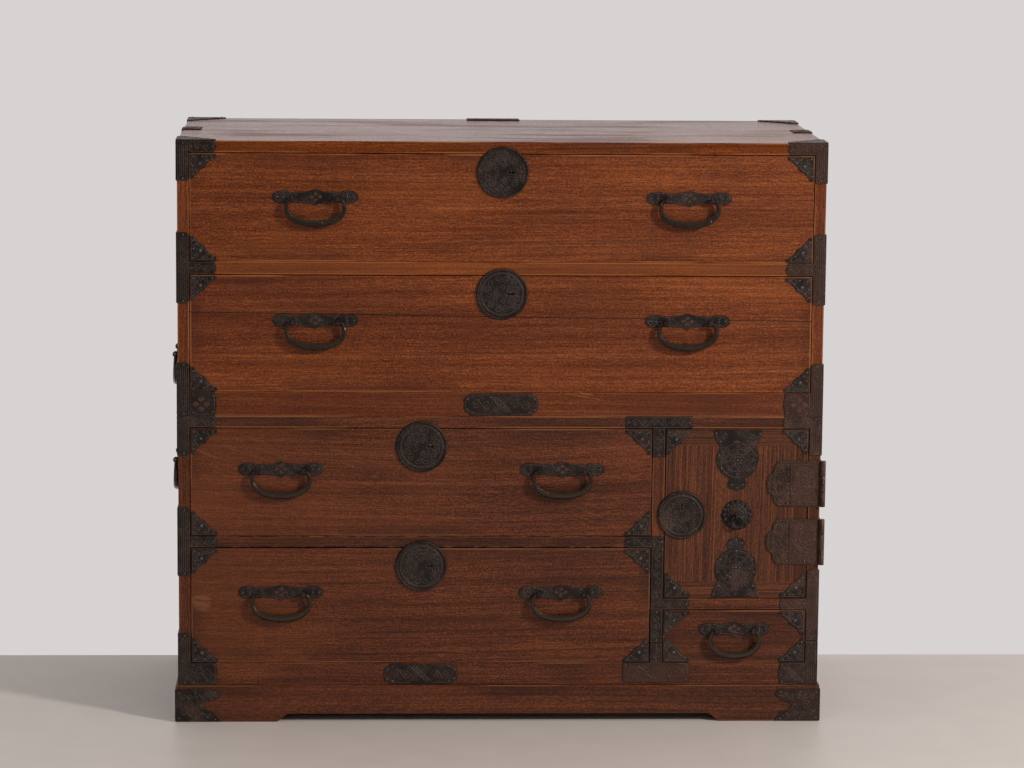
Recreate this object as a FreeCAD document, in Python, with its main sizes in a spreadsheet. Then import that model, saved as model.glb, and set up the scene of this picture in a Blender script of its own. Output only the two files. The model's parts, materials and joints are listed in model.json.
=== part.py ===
import FreeCAD, Part
import math
import os
import re

# Two-section chest on a plinth (kasane tansu): two drawers in the upper case; two drawers, a cupboard
# with a hinged door and a small drawer in the lower case; wrought-iron corner irons, locks and bails.
# Millimetres. X to the right, Y to the back, Z up. The origin is on the floor, under the middle of the
# chest's outer box.

doc = FreeCAD.newDocument("tansu_chest")
Vector = FreeCAD.Vector

# ---------------------------------------------------------------- driving dimensions

SIZES = {
    # the two stacked cases
    "case_width": 1000.0,
    "case_depth": 440.0,
    "case_height": 426.5,
    "side_thick": 18.0,
    "upper_top_thick": 18.0,
    "lower_top_thick": 18.5,
    "back_thick": 9.0,
    "floor_thick": 12.0,
    "rail_depth": 36.0,
    "upper_rail_height": 20.0,
    "upper_foot_height": 37.5,
    "lower_rail_height": 18.0,
    "lower_foot_height": 35.3,
    "drawer_1_opening": 168.0,
    "drawer_3_opening": 171.0,
    "divider_thick": 19.5,
    "cupboard_width": 225.5,
    "cupboard_floor_thick": 17.7,
    "small_drawer_opening": 84.7,
    "shelf_thick": 12.0,
    "shelf_setback": 60.0,
    "shelf_rise": 135.0,
    # plinth: the front board is cut away between two feet, with an ogee at each end of the cut
    "plinth_height": 58.0,
    "plinth_thick": 22.0,
    "plinth_overhang": 5.0,
    "foot_width": 155.0,
    "cutout_rise": 12.5,
    "ogee_length": 22.0,
    # drawers: board thicknesses and the gaps that they run with
    "front_thick": 18.0,
    "front_proud": 0.3,
    "side_gap": 1.2,
    "top_gap": 1.4,
    "run_gap": 0.4,
    "box_inset": 1.0,
    "box_side_thick": 11.0,
    "box_back_thick": 9.0,
    "box_bottom_thick": 7.0,
    "box_side_drop": 12.0,
    "rear_gap": 14.0,
    # door of the cupboard: vertical boards between a top and a bottom batten
    "door_thick": 18.0,
    "door_gap": 1.2,
    "door_batten": 26.0,
    # flat ironwork
    "iron_thick": 1.6,
    "corner_arm": 60.0,
    "corner_leg": 62.0,
    "tee_reach": 45.0,
    "foot_leg": 83.0,
    "side_leaf": 48.0,
    "top_leaf": 60.0,
    "top_strap_width": 40.0,
    "right_foot_leg": 70.0,
    "iron_joint": 0.5,
    "arm_round": 3.0,
    "divider_arm": 42.0,
    "divider_foot_gap": 4.0,
    "back_strap_width": 87.0,
    "back_strap_reach": 24.0,
    "back_strap_leg": 40.0,
    "centre_plate_width": 115.0,
    "centre_plate_margin": 1.5,
    "plinth_iron_width": 70.0,
    "plinth_iron_height": 52.0,
    "floor_gap": 0.8,
    "drawer_corner_width": 40.0,
    "drawer_corner_height": 38.0,
    "corner_inset": 1.0,
    # locks: round plate on the front, lock case with its bolt on the inside
    "lock_plate_radius": 40.0,
    "door_lock_radius": 38.0,
    "lock_plate_thick": 2.4,
    "lock_drop": 29.0,
    "keyhole_offset": 10.0,
    "keyhole_radius": 1.9,
    "keyhole_slot": 2.4,
    "keyhole_length": 9.0,
    "lock_case_width": 62.0,
    "lock_case_height": 40.0,
    "lock_case_depth": 11.0,
    "lock_case_margin": 5.0,
    "bolt_width": 16.0,
    "bolt_thick": 4.0,
    "bolt_stub": 2.5,
    "door_lock_inset": 26.3,
    "door_centre_drop": 1.6,
    # bails and the split posts that they turn in
    "handle_plate_width": 132.0,
    "handle_plate_height": 20.0,
    "small_plate_width": 113.0,
    "plate_over_axis": 3.0,
    "bail_width": 98.0,
    "bail_drop": 43.0,
    "small_bail_width": 86.0,
    "side_bail_width": 120.0,
    "side_bail_drop": 54.0,
    "bail_end": 7.0,
    "bail_middle": 11.0,
    "bail_depth": 8.0,
    "bail_shoulder_drop": 14.0,
    "bail_side_radius": 24.0,
    "bail_end_turn": 40.0,
    "bail_flats": 3.0,
    "bail_chamfer": 1.8,
    "bail_side_gap": 0.6,
    "journal_radius": 2.2,
    "journal_overrun": 1.5,
    "eye_gap": 0.35,
    "eye_radius": 4.8,
    "post_reach": 9.0,
    "post_width": 5.0,
    "post_shank": 4.0,
    "post_hole_gap": 0.1,
    "leg_length": 9.0,
    "leg_thick": 1.2,
    "upper_handle_inset": 194.0,
    "lower_handle_inset": 141.0,
    "drawer_1_handle_drop": 71.0,
    "drawer_2_handle_drop": 74.0,
    "drawer_3_handle_drop": 68.0,
    "drawer_4_handle_drop": 74.0,
    "small_drawer_handle_drop": 34.0,
    "side_post_reach": 11.5,
    "upper_side_handle_rise": 71.0,
    "lower_side_handle_rise": 327.0,
    # door furniture
    "hinge_leaf": 84.0,
    "hinge_bevel": 18.0,
    "hinge_thick": 2.0,
    "hinge_side_leaf": 60.0,
    "hinge_gap_above": 10.6,
    "hinge_gap_between": 20.0,
    "hinge_gap_below": 14.4,
    "hinge_iron_gap": 8.5,
    "knuckle_radius": 4.5,
    "axis_out": 3.5,
    "knuckle_gap": 0.3,
    "leaf_relief": 0.7,
    "pin_radius": 2.0,
    "pin_clearance": 0.05,
    "ornament_offset": 0.8,
    "ornament_base": 38.0,
    "ornament_disc": 32.5,
    "ornament_neck": 11.5,
    "ornament_head": 14.5,
    "ornament_length": 95.0,
    "ornament_margin": 1.5,
    "ornament_window": 14.0,
    "rosette_radius": 24.0,
    "rosette_height": 4.0,
    "ring_radius": 9.0,
    "ring_wire": 2.2,
    "ring_eye_gap": 0.7,
    "ring_eye_wall": 2.0,
    "ring_post_reach": 9.5,
}

# Levels and planes that follow from the sizes.
LEVELS = {
    "half_width": "case_width / 2",
    "inner_half": "half_width - side_thick",
    "front_reach": "front_proud + post_reach + eye_radius",
    "front": "-(case_depth - front_reach) / 2",
    "face": "front - front_proud",
    "back": "front + case_depth",
    "inner_back": "back - back_thick",
    "middle_depth": "front + case_depth / 2",
    "bail_tuck": "bail_side_radius - (bail_side_radius - bail_end) * cos(bail_end_turn)",
    "joint_level": "plinth_height + case_height",
    "top_level": "joint_level + case_height",
    "drawer_1_top": "top_level - upper_top_thick",
    "drawer_1_bottom": "drawer_1_top - drawer_1_opening",
    "drawer_2_top": "drawer_1_bottom - upper_rail_height",
    "drawer_2_bottom": "joint_level + upper_foot_height",
    "drawer_3_top": "joint_level - lower_top_thick",
    "drawer_3_bottom": "drawer_3_top - drawer_3_opening",
    "drawer_4_top": "drawer_3_bottom - lower_rail_height",
    "drawer_4_bottom": "plinth_height + lower_foot_height",
    "divider_right": "inner_half - cupboard_width",
    "divider_left": "divider_right - divider_thick",
    "divider_middle": "divider_right - divider_thick / 2",
    "small_drawer_bottom": "drawer_4_bottom",
    "small_drawer_top": "small_drawer_bottom + small_drawer_opening",
    "cupboard_bottom": "small_drawer_top + cupboard_floor_thick",
    "door_left": "divider_right + door_gap",
    "door_right": "inner_half - door_gap",
    "door_bottom": "cupboard_bottom + door_gap",
    "door_top": "drawer_3_top - door_gap",
    "door_middle": "(door_left + door_right) / 2 + ornament_offset",
    "door_centre": "(door_bottom + door_top) / 2 - door_centre_drop",
    "hinge_x": "half_width + axis_out",
    "hinge_y": "front - axis_out",
    "hinges_low": "door_bottom + corner_inset + drawer_corner_height + hinge_gap_below",
    "hinges_high": "door_top - corner_inset - drawer_corner_height - hinge_gap_above",
    "hinge_height": "(hinges_high - hinges_low - hinge_gap_between) / 2",
    "lower_hinge_level": "hinges_low + hinge_height / 2",
    "upper_hinge_level": "hinges_high - hinge_height / 2",
    "upper_handle_spread": "inner_half - upper_handle_inset",
    "lower_handle_spread": "(divider_left + inner_half) / 2 - lower_handle_inset",
    "upper_handle_level": "joint_level + upper_side_handle_rise",
    "lower_handle_level": "plinth_height + lower_side_handle_rise",
}


def fill_sheet(name, cells):
    sheet = doc.addObject("Spreadsheet::Sheet", name)
    for row, (alias, content) in enumerate(cells.items(), start=1):
        sheet.set(f"A{row}", alias)
        sheet.set(f"B{row}", content)
        sheet.setAlias(f"B{row}", alias)
    return sheet


def qualified(text):
    """The expression with each named value's sheet in front of it."""

    def with_sheet(match):
        word = match.group(0)
        if word in SIZES:
            return f"Sizes.{word}"
        if word in LEVELS:
            return f"Levels.{word}"
        return word

    return re.sub(r"[a-z][a-z0-9_]*", with_sheet, text)


def level_formula(text):
    return "=" + qualified(text).replace("Levels.", "")


sizes_sheet = fill_sheet("Sizes", {name: str(number) for name, number in SIZES.items()})
levels_sheet = fill_sheet("Levels", {name: level_formula(text) for name, text in LEVELS.items()})
doc.recompute()


def value(text):
    """The value, in millimetres, of an expression of named values."""
    return float(levels_sheet.evalExpression(qualified(text)))


class Dimensions:
    """Reads one named value from the sheets: dim.case_width."""

    def __getattr__(self, name):
        return value(name)


dim = Dimensions()

# ---------------------------------------------------------------- building blocks

nodes = []


def bind(item, path, text):
    item.setExpression(path, qualified(text))


def move(item, x, y, z, turn=0.0):
    """Places an object, turned about Z, with its position bound to the sheets."""
    item.Placement = FreeCAD.Placement(Vector(), FreeCAD.Rotation(Vector(0, 0, 1), turn))
    for axis, text in zip("xyz", (x, y, z)):
        bind(item, f"Placement.Base.{axis}", text)


def board(name, x, y, z):
    """A straight board, from the low to the high value given along each axis."""
    item = doc.addObject("Part::Box", name)
    for side, axis, (low, high) in zip(("Length", "Width", "Height"), "xyz", (x, y, z)):
        bind(item, side, f"({high}) - ({low})")
        bind(item, f"Placement.Base.{axis}", low)
    return item


def around(middle, size):
    """The low and the high value of something that lies evenly about its middle."""
    return (f"{middle} - ({size}) / 2", f"{middle} + ({size}) / 2")


def cut(name, base, tools):
    item = doc.addObject("Part::Cut", name)
    item.Base = base
    item.Tool = group(f"{name}_tools", tools)
    return item


def group(name, members):
    item = doc.addObject("Part::Compound", name)
    item.Links = members
    return item


def node(name, *members):
    """Names one sub-part. Several members stay separate solids in it."""
    item = members[0] if len(members) == 1 else group(name, list(members))
    item.Label = name
    nodes.append(item)


def new_body(name, x, y, z, turn=0.0):
    item = doc.addObject("PartDesign::Body", name)
    move(item, x, y, z, turn)
    return item


def origin_item(body, role):
    return next(item for item in body.Origin.OriginFeatures if item.Role == role)


def sketch(body, plane, loops, offset="0"):
    """A sketch on one of the body's origin planes, or on a plane parallel to it."""
    item = body.newObject("Sketcher::SketchObject", "Sketch")
    item.AttachmentSupport = [(origin_item(body, plane), "")]
    item.MapMode = "FlatFace"
    bind(item, "AttachmentOffset.Base.z", offset)
    for edges in loops:
        item.addGeometry(edges, False)
    return item


def pad(body, profile, length, side="One side", reverse=False):
    item = body.newObject("PartDesign::Pad", "Pad")
    item.Profile = profile
    item.SideType = side
    item.Reversed = reverse
    bind(item, "Length", length)
    return item


def pocket(body, profile, length, side="One side", reverse=False):
    item = body.newObject("PartDesign::Pocket", "Pocket")
    item.Profile = profile
    item.SideType = side
    item.Reversed = reverse
    bind(item, "Length", length)
    return item


def revolve(body, profile, axis):
    item = body.newObject("PartDesign::Revolution", "Revolution")
    item.Profile = profile
    item.ReferenceAxis = (profile, [axis])
    item.Angle = 360.0
    return item


# Closed outlines. A step is a corner (x, y), or ((x, y), (x, y)) for an arc's middle and its end.


def is_arc(step):
    return isinstance(step[0], tuple)


def loop(steps):
    edges = []
    here = steps[0]
    for step in steps[1:] + [steps[0]]:
        end = step[1] if is_arc(step) else step
        if math.dist(here, end) > 1e-6:
            if is_arc(step):
                edges.append(Part.Arc(Vector(*here, 0), Vector(*step[0], 0), Vector(*end, 0)))
            else:
                edges.append(Part.LineSegment(Vector(*here, 0), Vector(*end, 0)))
        here = end
    return edges


def circle(radius):
    return [Part.Circle(Vector(), Vector(0, 0, 1), radius)]


def polygon(sides, flat_radius):
    """A regular polygon by its inner radius, with its first side upright on the right."""
    corner = flat_radius / math.cos(math.pi / sides)
    angles = [(index - 0.5) * 2 * math.pi / sides for index in range(sides)]
    return [(corner * math.cos(angle), corner * math.sin(angle)) for angle in angles]


def rectangle(x, y):
    return [(x[0], y[0]), (x[1], y[0]), (x[1], y[1]), (x[0], y[1])]


def flipped(steps, across=1, up=1, x=0.0, y=0.0):
    """The outline mirrored where a sign is -1, then moved by x and y."""

    def point(here):
        return (here[0] * across + x, here[1] * up + y)

    return [tuple(point(corner) for corner in step) if is_arc(step) else point(step) for step in steps]


def backwards(steps):
    """The same open run of steps, from its end to its start."""
    ends = [step[1] if is_arc(step) else step for step in steps]
    turned = [(steps[i][0], ends[i - 1]) if is_arc(steps[i]) else ends[i - 1] for i in range(1, len(steps))]
    return [ends[-1]] + turned[::-1]


def mirrored_half(steps):
    """Adds the mirror image of a half outline that starts and ends on the centre line x = 0."""
    return steps + flipped(backwards(steps), across=-1)[1:]


def notches(start, end, count, depth):
    """Shallow chisel cuts side by side along a straight edge, hollow towards its left hand side."""
    points = []
    run = (end[0] - start[0], end[1] - start[1])
    length = math.hypot(*run)
    left = (-run[1] / length * depth, run[0] / length * depth)
    for index in range(count):
        for share, deep in ((0.3, 1.0), (0.7, 1.0), (1.0, 0.0)):
            part = (index + share) / count
            x = start[0] + run[0] * part + left[0] * deep
            points.append((x, start[1] + run[1] * part + left[1] * deep))
    return points


# ---------------------------------------------------------------- plinth

CASE_WIDE = ("-half_width", "half_width")
PLINTH_WIDE = ("-half_width - plinth_overhang", "half_width + plinth_overhang")
PLINTH_FRONT = "front - plinth_overhang"


def plinth_front_outline():
    half = dim.half_width + dim.plinth_overhang
    foot = half - dim.foot_width
    rise = dim.cutout_rise
    half_ogee = dim.ogee_length / 2
    bend = dim.ogee_length / 16
    ogee_low = ((foot - half_ogee / 2, rise / 4 - bend), (foot - half_ogee, rise / 2))
    ogee_high = ((foot - half_ogee * 1.5, rise * 3 / 4 + bend), (foot - 2 * half_ogee, rise))
    half_steps = [(0.0, rise), (foot - 2 * half_ogee, rise)]
    half_steps.append((ogee_high[0], (foot - half_ogee, rise / 2)))
    half_steps.append((ogee_low[0], (foot, 0.0)))
    half_steps += [(half, 0.0), (half, dim.plinth_height), (0.0, dim.plinth_height)]
    return loop(mirrored_half(half_steps))


plinth_front = new_body("plinth_front", "0", PLINTH_FRONT, "0")
pad(plinth_front, sketch(plinth_front, "XZ_Plane", [plinth_front_outline()]), "plinth_thick", reverse=True)
plinth_behind = (f"{PLINTH_FRONT} + plinth_thick", "back")
plinth_level = ("0", "plinth_height")
plinth_left = board(
    "plinth_left", (PLINTH_WIDE[0], f"{PLINTH_WIDE[0]} + plinth_thick"), plinth_behind, plinth_level
)
plinth_right = board(
    "plinth_right", (f"{PLINTH_WIDE[1]} - plinth_thick", PLINTH_WIDE[1]), plinth_behind, plinth_level
)
plinth_back = board(
    "plinth_back",
    (f"{PLINTH_WIDE[0]} + plinth_thick", f"{PLINTH_WIDE[1]} - plinth_thick"),
    ("back - plinth_thick", "back"),
    plinth_level,
)
node("plinth", plinth_front, plinth_left, plinth_right, plinth_back)

# ---------------------------------------------------------------- bails, their posts and plates

SMALL_HANDLE = ("small_bail_width", "bail_drop", "small_plate_width")
LARGE_HANDLE = ("bail_width", "bail_drop", "handle_plate_width")
SIDE_HANDLE = ("side_bail_width", "side_bail_drop", "handle_plate_width")


def post_place(handle):
    """Distance from the middle of a handle to the middle of each post."""
    return f"({handle[0]} / 2 - bail_tuck - bail_side_gap - post_width / 2)"


def bow(half_width, depth, radius):
    """Half of a bail's bow, hammered in flats along two tangent arcs, from its lowest point up."""
    level = -dim.bail_shoulder_drop
    reach = half_width - radius
    large = (reach**2 + depth**2 - radius**2) / (2 * (depth - radius))
    height = large - depth
    join = math.atan2(reach, height)
    end = math.radians(90 + dim.bail_end_turn)
    flats = round(dim.bail_flats)
    points = []
    for index in range(flats + 1):
        angle = join * index / flats
        points.append((large * math.sin(angle), level + height - large * math.cos(angle)))
    for index in range(1, flats + 1):
        angle = join + (end - join) * index / flats
        points.append((reach + radius * math.sin(angle), level - radius * math.cos(angle)))
    return points


def bail_outline(handle):
    """The bow is thickest at its lowest point, and its ends stand upright beside the posts."""
    half = value(handle[0]) / 2
    depth = value(handle[1]) - dim.bail_shoulder_drop
    radius = dim.bail_side_radius
    inner = bow(half - dim.bail_end, depth - dim.bail_middle, radius - dim.bail_end)
    outer = bow(half, depth, radius)
    top = dim.bail_end / 2
    return loop(mirrored_half(inner + [(inner[-1][0], top), (outer[-1][0], top)] + backwards(outer)))


def chamfer_faces(body, forging, directions, size):
    """Takes the edges off the faces that point along the body's -Y or +Y."""
    doc.recompute()
    faces = enumerate(forging.Shape.Faces, start=1)
    flat = [f"Face{index}" for index, face in faces if round(face.normalAt(0, 0).y, 3) in directions]
    chamfer = body.newObject("PartDesign::Chamfer", "Chamfer")
    chamfer.Base = (forging, flat)
    bind(chamfer, "Size", size)


def bail(name, handle, x, y, z, turn=0.0):
    """A forged bail that hangs from its axis, along the body's own X."""
    body = new_body(name, x, y, z, turn)
    forging = pad(body, sketch(body, "XZ_Plane", [bail_outline(handle)]), "bail_depth", "Symmetric")
    chamfer_faces(body, forging, (-1,), "bail_chamfer")
    length = "bail_end / 2 + bail_side_gap + post_width + journal_overrun"
    for side in (-1, 1):
        start = f"{side} * ({handle[0]} / 2 - bail_tuck + bail_end / 2)"
        journal = sketch(body, "YZ_Plane", [loop(polygon(8, dim.journal_radius))], start)
        pad(body, journal, length, reverse=side > 0)
    node(name, body)


def post_outline(reach, wall):
    """Seen along the bail's axis: the eye, the shank through the wood and the two bent legs inside."""
    shank = dim.post_shank / 2
    inside = reach + wall
    outside = inside + dim.leg_thick
    eye = [(dim.eye_radius, shank)] + polygon(8, dim.eye_radius)[2:] + [(dim.eye_radius, -shank)]
    legs = [(inside, -shank), (inside, -dim.leg_length), (outside, -dim.leg_length)]
    hole = loop(polygon(8, dim.journal_radius + dim.eye_gap))
    return [loop(eye + legs + flipped(backwards(legs), up=-1)), hole]


def posts(name, handle, reach, wall, x, y, z, turn=0.0):
    """The pair of split posts of one handle, each in its own body."""
    pair = []
    outlines = post_outline(value(reach), value(wall))
    for side in (-1, 1):
        body = new_body(f"{name}_post", x, y, z, turn)
        profile = sketch(body, "YZ_Plane", outlines, f"{side} * {post_place(handle)}")
        pad(body, profile, "post_width", "Symmetric")
        pair.append(body)
    return pair


def post_hole(x, z):
    """Where a post passes through an iron plate."""
    wide = dim.post_width / 2 + dim.post_hole_gap
    high = dim.post_shank / 2 + dim.post_hole_gap
    return loop(rectangle((x - wide, x + wide), (z - high, z + high)))


def handle_plate_outline(width, height):
    """Long plate cut with a chisel: a raised middle, a drop below it and a lobed leaf at each end."""
    half = width / 2
    up = height / 2
    leaf = [(half - 2.8 * up, up * 0.72), (half - 2.3 * up, up), (half - 0.75 * up, up * 0.92)]
    leaf.append((half - 0.1 * up, up * 0.45))
    upper = [(0.0, up * 1.25), (up, up * 0.9)] + leaf
    lower = flipped(backwards(leaf), up=-1) + [(up * 0.6, -up), (0.0, -up * 1.35)]
    return mirrored_half(upper + [(half, 0.0)] + lower)


def handle_plate_loops(handle, x=0.0, z=0.0):
    """The plate around (x, z) and its two post holes, which lie a little below the plate's middle."""
    outline = handle_plate_outline(value(handle[2]), dim.handle_plate_height)
    centre = value(post_place(handle))
    loops = [loop(flipped(outline, x=x, y=z))]
    loops += [post_hole(x + side * centre, z - dim.plate_over_axis) for side in (-1, 1)]
    return loops


def post_cutters(name, handle, x, y, z, across=True):
    """Square holes for the two shanks of one handle: x, y and z bound the wood along each axis."""
    cutters = []
    for side in (-1, 1):
        middle = f"({x if across else y}) + {side} * {post_place(handle)}"
        width = around(middle, "post_width + 2 * post_hole_gap")
        height = around(z, "post_shank + 2 * post_hole_gap")
        spans = (width, y, height) if across else (x, width, height)
        cutters.append(board(f"{name}_hole", *spans))
    return cutters


# ---------------------------------------------------------------- carcases


def side_board(name, side, level, handle_level):
    """A side board with the two square holes that the carrying handle's posts pass through."""
    outer = ("inner_half", "half_width") if side > 0 else ("-half_width", "-inner_half")
    plain = board(f"{name}_board", outer, ("front", "back"), level)
    tools = post_cutters(name, SIDE_HANDLE, outer, "middle_depth", handle_level, across=False)
    node(name, cut(name, plain, tools))


def side_handles(case, handle_level):
    """The plates and posts on both sides of a case, and the two bails."""
    irons = []
    for side, word in ((-1, "left"), (1, "right")):
        turn = 90.0 * side
        plate = new_body(f"{case}_{word}_plate", f"{side} * half_width", "middle_depth", handle_level, turn)
        profile = sketch(plate, "XZ_Plane", handle_plate_loops(SIDE_HANDLE, z=dim.plate_over_axis))
        pad(plate, profile, "iron_thick")
        axis = (f"{side} * (half_width + side_post_reach)", "middle_depth", handle_level)
        irons.append(plate)
        irons += posts(f"{case}_{word}", SIDE_HANDLE, "side_post_reach", "side_thick", *axis, turn)
        bail(f"{case}_handle_{word}", SIDE_HANDLE, *axis, turn)
    return irons


BETWEEN_SIDES = ("-inner_half", "inner_half")
INSIDE_DEPTH = ("front", "inner_back")
RAIL_DEPTH = ("front", "front + rail_depth")
BEHIND_RAIL = ("front + rail_depth", "inner_back")


def case_boards():
    levels = {
        "upper": ("joint_level", "top_level - upper_top_thick", "top_level"),
        "lower": ("plinth_height", "joint_level - lower_top_thick", "joint_level"),
    }
    for case, (low, high, top) in levels.items():
        for side, word in ((-1, "left"), (1, "right")):
            side_board(f"{case}_side_{word}", side, (low, high), f"{case}_handle_level")
        node(f"{case}_top", board(f"{case}_top", CASE_WIDE, ("front", "back"), (high, top)))
        node(f"{case}_back", board(f"{case}_back", BETWEEN_SIDES, ("inner_back", "back"), (low, high)))


def rails_and_floors():
    """Front rails, and behind each of them a thin floor that is flush with the rail's upper edge."""
    left_of_divider = ("-inner_half", "divider_left")
    node(
        "upper_rails",
        board("upper_rail", BETWEEN_SIDES, RAIL_DEPTH, ("drawer_2_top", "drawer_1_bottom")),
        board("upper_foot_rail", BETWEEN_SIDES, RAIL_DEPTH, ("joint_level", "drawer_2_bottom")),
    )
    node(
        "lower_rails",
        board("lower_rail", left_of_divider, RAIL_DEPTH, ("drawer_4_top", "drawer_3_bottom")),
        board("lower_foot_rail", BETWEEN_SIDES, RAIL_DEPTH, ("plinth_height", "drawer_4_bottom")),
    )
    floors = {
        "upper_drawer_shelf": (BETWEEN_SIDES, "drawer_1_bottom"),
        "upper_bottom": (BETWEEN_SIDES, "drawer_2_bottom"),
        "lower_drawer_shelf": (left_of_divider, "drawer_3_bottom"),
        "lower_bottom": (BETWEEN_SIDES, "drawer_4_bottom"),
    }
    for name, (wide, level) in floors.items():
        node(name, board(name, wide, BEHIND_RAIL, (f"{level} - floor_thick", level)))


def cupboard_boards():
    wide = ("divider_right", "inner_half")
    thick = ("divider_left", "divider_right")
    floor = ("small_drawer_top", "cupboard_bottom")
    shelf = ("cupboard_bottom + shelf_rise", "cupboard_bottom + shelf_rise + shelf_thick")
    node("lower_divider", board("lower_divider", thick, INSIDE_DEPTH, ("drawer_4_bottom", "drawer_3_top")))
    node("cupboard_floor", board("cupboard_floor", wide, INSIDE_DEPTH, floor))
    node("cupboard_shelf", board("cupboard_shelf", wide, ("front + shelf_setback", "inner_back"), shelf))


case_boards()
rails_and_floors()
cupboard_boards()

# ---------------------------------------------------------------- corner irons


def rounded_arm(reach, start, end):
    """The blunt end of an arm that lies between two levels."""
    shoulder = reach - math.copysign(dim.arm_round, reach)
    return [(shoulder, start), (reach, (start + end) / 2), (shoulder, end)]


def stile_iron(low, high, arm_low, arm_high, arm):
    """Front leaf of a corner iron, right-hand side: a strip on the stile with an arm along a rail."""
    stile = dim.side_thick
    round_off = dim.arm_round
    steps = [(0.0, low)]
    if low < arm_low:
        steps += [(-stile + round_off, low), (-stile, low + round_off), (-stile, arm_low)]
    steps += rounded_arm(-arm, arm_low, arm_high)
    if high > arm_high:
        steps += [(-stile, arm_high), (-stile, high - round_off), (-stile + round_off, high)]
    steps += [(0.0, high)]
    return steps


def side_iron(low, high, reach):
    """Side leaf of a corner iron: its free edge has a shallow hollow."""
    overlap = -dim.iron_thick
    hollow = notches((reach, low), (reach, high), 1, 2.5)
    return [(overlap, low), (reach, low)] + hollow + [(overlap, high)]


def wrapped_irons(name, side, z, leaves, top_leaf=None):
    """Corner irons of one front corner: the front leaves, and the side leaves they are bent into."""
    body = new_body(name, f"{side} * half_width", "front", z)
    front_loops = [loop(flipped(stile_iron(*leaf), across=side)) for leaf in leaves]
    pad(body, sketch(body, "XZ_Plane", front_loops), "iron_thick")
    side_loops = [loop(side_iron(leaf[0], leaf[1], dim.side_leaf)) for leaf in leaves]
    pad(body, sketch(body, "YZ_Plane", side_loops), "iron_thick", reverse=side < 0)
    if top_leaf:
        profile = sketch(body, "XY_Plane", [loop(flipped(top_leaf, across=side))], "case_height")
        pad(body, profile, "iron_thick")
    return body


def top_corner_leaf():
    """Leaf on the top board: bent up from the front leaf, with cuts along its slanting edge."""
    lip = dim.iron_thick
    reach = dim.top_leaf
    slant = notches((-8.0, reach), (-reach, 8.0), 2, 3.0)
    return [(lip, -lip), (lip, reach), (-8.0, reach)] + slant + [(-reach, -lip)]


def upper_corner_irons():
    height = dim.case_height
    rail_low = dim.drawer_2_top - dim.joint_level
    rail_high = dim.drawer_1_bottom - dim.joint_level
    leaves = [
        (height - dim.corner_leg, height, height - dim.upper_top_thick, height, dim.corner_arm),
        (rail_low - dim.tee_reach, rail_high + dim.tee_reach, rail_low, rail_high, dim.corner_arm),
        (0.0, dim.foot_leg, 0.0, dim.upper_foot_height, dim.corner_arm),
    ]
    top = top_corner_leaf()
    return [wrapped_irons("upper_corner", side, "joint_level", leaves, top) for side in (-1, 1)]


def lower_corner_irons():
    height = dim.case_height
    top = (height - dim.corner_leg, height, height - dim.lower_top_thick, height, dim.corner_arm)
    rail_low = dim.drawer_4_top - dim.plinth_height
    rail_high = dim.drawer_3_bottom - dim.plinth_height
    tee = (rail_low - dim.tee_reach, rail_high + dim.tee_reach, rail_low, rail_high, dim.corner_arm)
    foot = (0.0, dim.foot_leg, 0.0, dim.lower_foot_height, dim.corner_arm)
    left = wrapped_irons("lower_left_corner", -1, "plinth_height", [top, tee, foot])
    hinges = (dim.hinges_low - dim.plinth_height, dim.hinges_high - dim.plinth_height)
    right_top = (hinges[1] + dim.hinge_iron_gap,) + top[1:]
    shelf_low = dim.small_drawer_top - dim.plinth_height
    shelf_high = dim.cupboard_bottom - dim.plinth_height
    right_foot = (0.0, dim.right_foot_leg, 0.0, dim.lower_foot_height, dim.corner_arm)
    tee_ends = (dim.right_foot_leg + dim.iron_joint, hinges[0] - dim.hinge_iron_gap)
    right_tee = tee_ends + (shelf_low, shelf_high, dim.corner_arm)
    right_leaves = [right_top, right_tee, right_foot]
    return [left, wrapped_irons("lower_right_corner", 1, "plinth_height", right_leaves)]


def top_straps():
    """Irons over the side edges of the top board: one at mid-depth and one at each back corner."""
    lip = dim.iron_thick
    half = dim.top_strap_width / 2
    depth = dim.case_depth
    inner = depth - dim.top_leaf
    edge = -dim.top_leaf / 2
    middle = [(lip, depth / 2 - half), (edge, depth / 2 - half)]
    middle += notches((edge, depth / 2 - half), (edge, depth / 2 + half), 1, -3.0)
    middle.append((lip, depth / 2 + half))
    corner = [(lip, depth), (lip, inner), (-8.0, inner)]
    corner += notches((-8.0, inner), (-dim.top_leaf, depth - 8.0), 2, -3.0)
    corner.append((-dim.top_leaf, depth))
    straps = []
    for side in (-1, 1):
        body = new_body("top_strap", f"{side} * half_width", "front", "top_level")
        top_loops = [loop(flipped(steps, across=side)) for steps in (middle, corner)]
        pad(body, sketch(body, "XY_Plane", top_loops), "iron_thick")
        low = -dim.corner_leg
        strap = loop(rectangle((depth / 2 - half, depth / 2 + half), (low, 0.0)))
        bent = loop(rectangle((depth - dim.side_leaf, depth), (low, 0.0)))
        pad(body, sketch(body, "YZ_Plane", [strap, bent]), "iron_thick", reverse=side < 0)
        straps.append(body)
    return straps


def back_strap():
    """Iron over the middle of the top board's back edge."""
    body = new_body("back_strap", "0", "back", "top_level")
    half = dim.back_strap_width / 2
    top = rectangle((-half, half), (-dim.back_strap_reach, dim.iron_thick))
    pad(body, sketch(body, "XY_Plane", [loop(top)]), "iron_thick")
    behind = rectangle((-half, half), (-dim.back_strap_leg, 0.0))
    pad(body, sketch(body, "XZ_Plane", [loop(behind)]), "iron_thick", reverse=True)
    return body


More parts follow.
